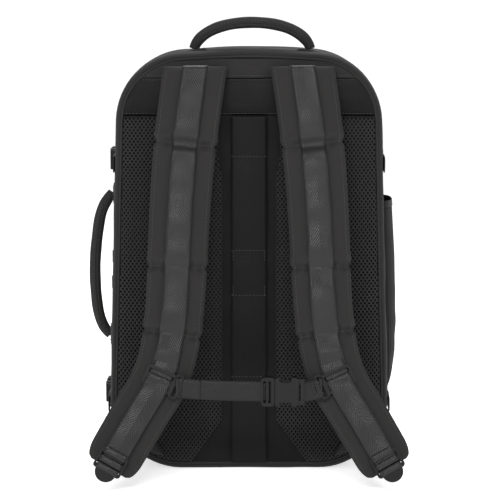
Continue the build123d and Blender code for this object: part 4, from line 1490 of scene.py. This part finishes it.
# ---------------------------------------------------------------- stage
HORIZON_LIGHT = 1.08  # what stands behind the bag
SKY_LIGHT = 0.3  # the studio's ceiling
HORIZON_TOP = 0.2  # where the horizon starts to fade, as the sine of its elevation
SKY_START = 0.5  # where the ceiling starts
FLOOR_REACH = 6.0
BAG_MIDDLE = Vector((0.0, 0.0, 0.27))
LAMPS = (  # name, place, size and power
    ("key", Vector((-0.3, -2.3, 1.95)), (1.8, 0.5), 54.0),
    ("fill", Vector((1.8, -1.4, 1.2)), (1.0, 1.4), 4.0),
    ("rim", Vector((0.0, 1.0, 2.2)), (2.0, 0.8), 40.0),
)


def sky():
    """White world, bright behind the bag and dim above it."""
    world = bpy.data.worlds.new("studio")
    world.use_nodes = True
    tree = world.node_tree
    split = tree.nodes.new("ShaderNodeSeparateXYZ")
    tree.links.new(tree.nodes.new("ShaderNodeTexCoord").outputs["Generated"], split.inputs[0])
    fade = tree.nodes.new("ShaderNodeMapRange")
    tree.links.new(split.outputs[2], fade.inputs[0])
    for index, value in enumerate((HORIZON_TOP, SKY_START, HORIZON_LIGHT, SKY_LIGHT), start=1):
        fade.inputs[index].default_value = value
    background = tree.nodes["Background"]
    tree.links.new(fade.outputs[0], background.inputs["Strength"])
    background.inputs["Color"].default_value = (1, 1, 1, 1)
    bpy.context.scene.world = world


def stage():
    corners = [(FLOOR_REACH * x, FLOOR_REACH * y, 0) for x, y in ((-1, -1), (1, -1), (1, 1), (-1, 1))]
    floor = mesh_object("floor", corners, [(0, 1, 2, 3)], floor_paint(), smooth=False)
    sky()
    for name, spot, size, power in LAMPS:
        lamp = bpy.data.lights.new(name, "AREA")
        lamp.shape = "RECTANGLE"
        lamp.size, lamp.size_y = size
        lamp.energy = power
        holder = bpy.data.objects.new(name, lamp)
        holder.location = spot
        holder.rotation_euler = (BAG_MIDDLE - spot).to_track_quat("-Z", "Y").to_euler()
        bpy.context.scene.collection.objects.link(holder)
    bpy.context.scene.view_settings.view_transform = "Standard"


CAMERA_AIM = Vector((0.0, PANEL_Y, 269 * MM))
CAMERA_DISTANCE = 2.6
CAMERA_ELEVATION = math.radians(7.5)
CAMERA_SHIFT = (0.002, 0.0096)
FIELD_WIDTH = 617 * MM  # what the camera sees across at its aim
SENSOR = 36.0


def camera():
    eye = Vector((0.0, -math.cos(CAMERA_ELEVATION), math.sin(CAMERA_ELEVATION)))
    lens = bpy.data.cameras.new("camera")
    lens.sensor_width = SENSOR
    lens.lens = SENSOR * CAMERA_DISTANCE / FIELD_WIDTH
    lens.shift_x, lens.shift_y = CAMERA_SHIFT
    holder = bpy.data.objects.new("camera", lens)
    holder.location = CAMERA_AIM + eye * CAMERA_DISTANCE
    holder.rotation_euler = (-eye).to_track_quat("-Z", "Y").to_euler()
    bpy.context.scene.collection.objects.link(holder)
    bpy.context.scene.camera = holder


camera()
stage()
back_shell()
lid_shell()
back_pads()
middle_column()
back_trim()
straps()
handles()
bottle_pocket()
strap_locks()
sternum_strap()
compression_straps()
main_zip()
spine()
front_pocket()
inside()
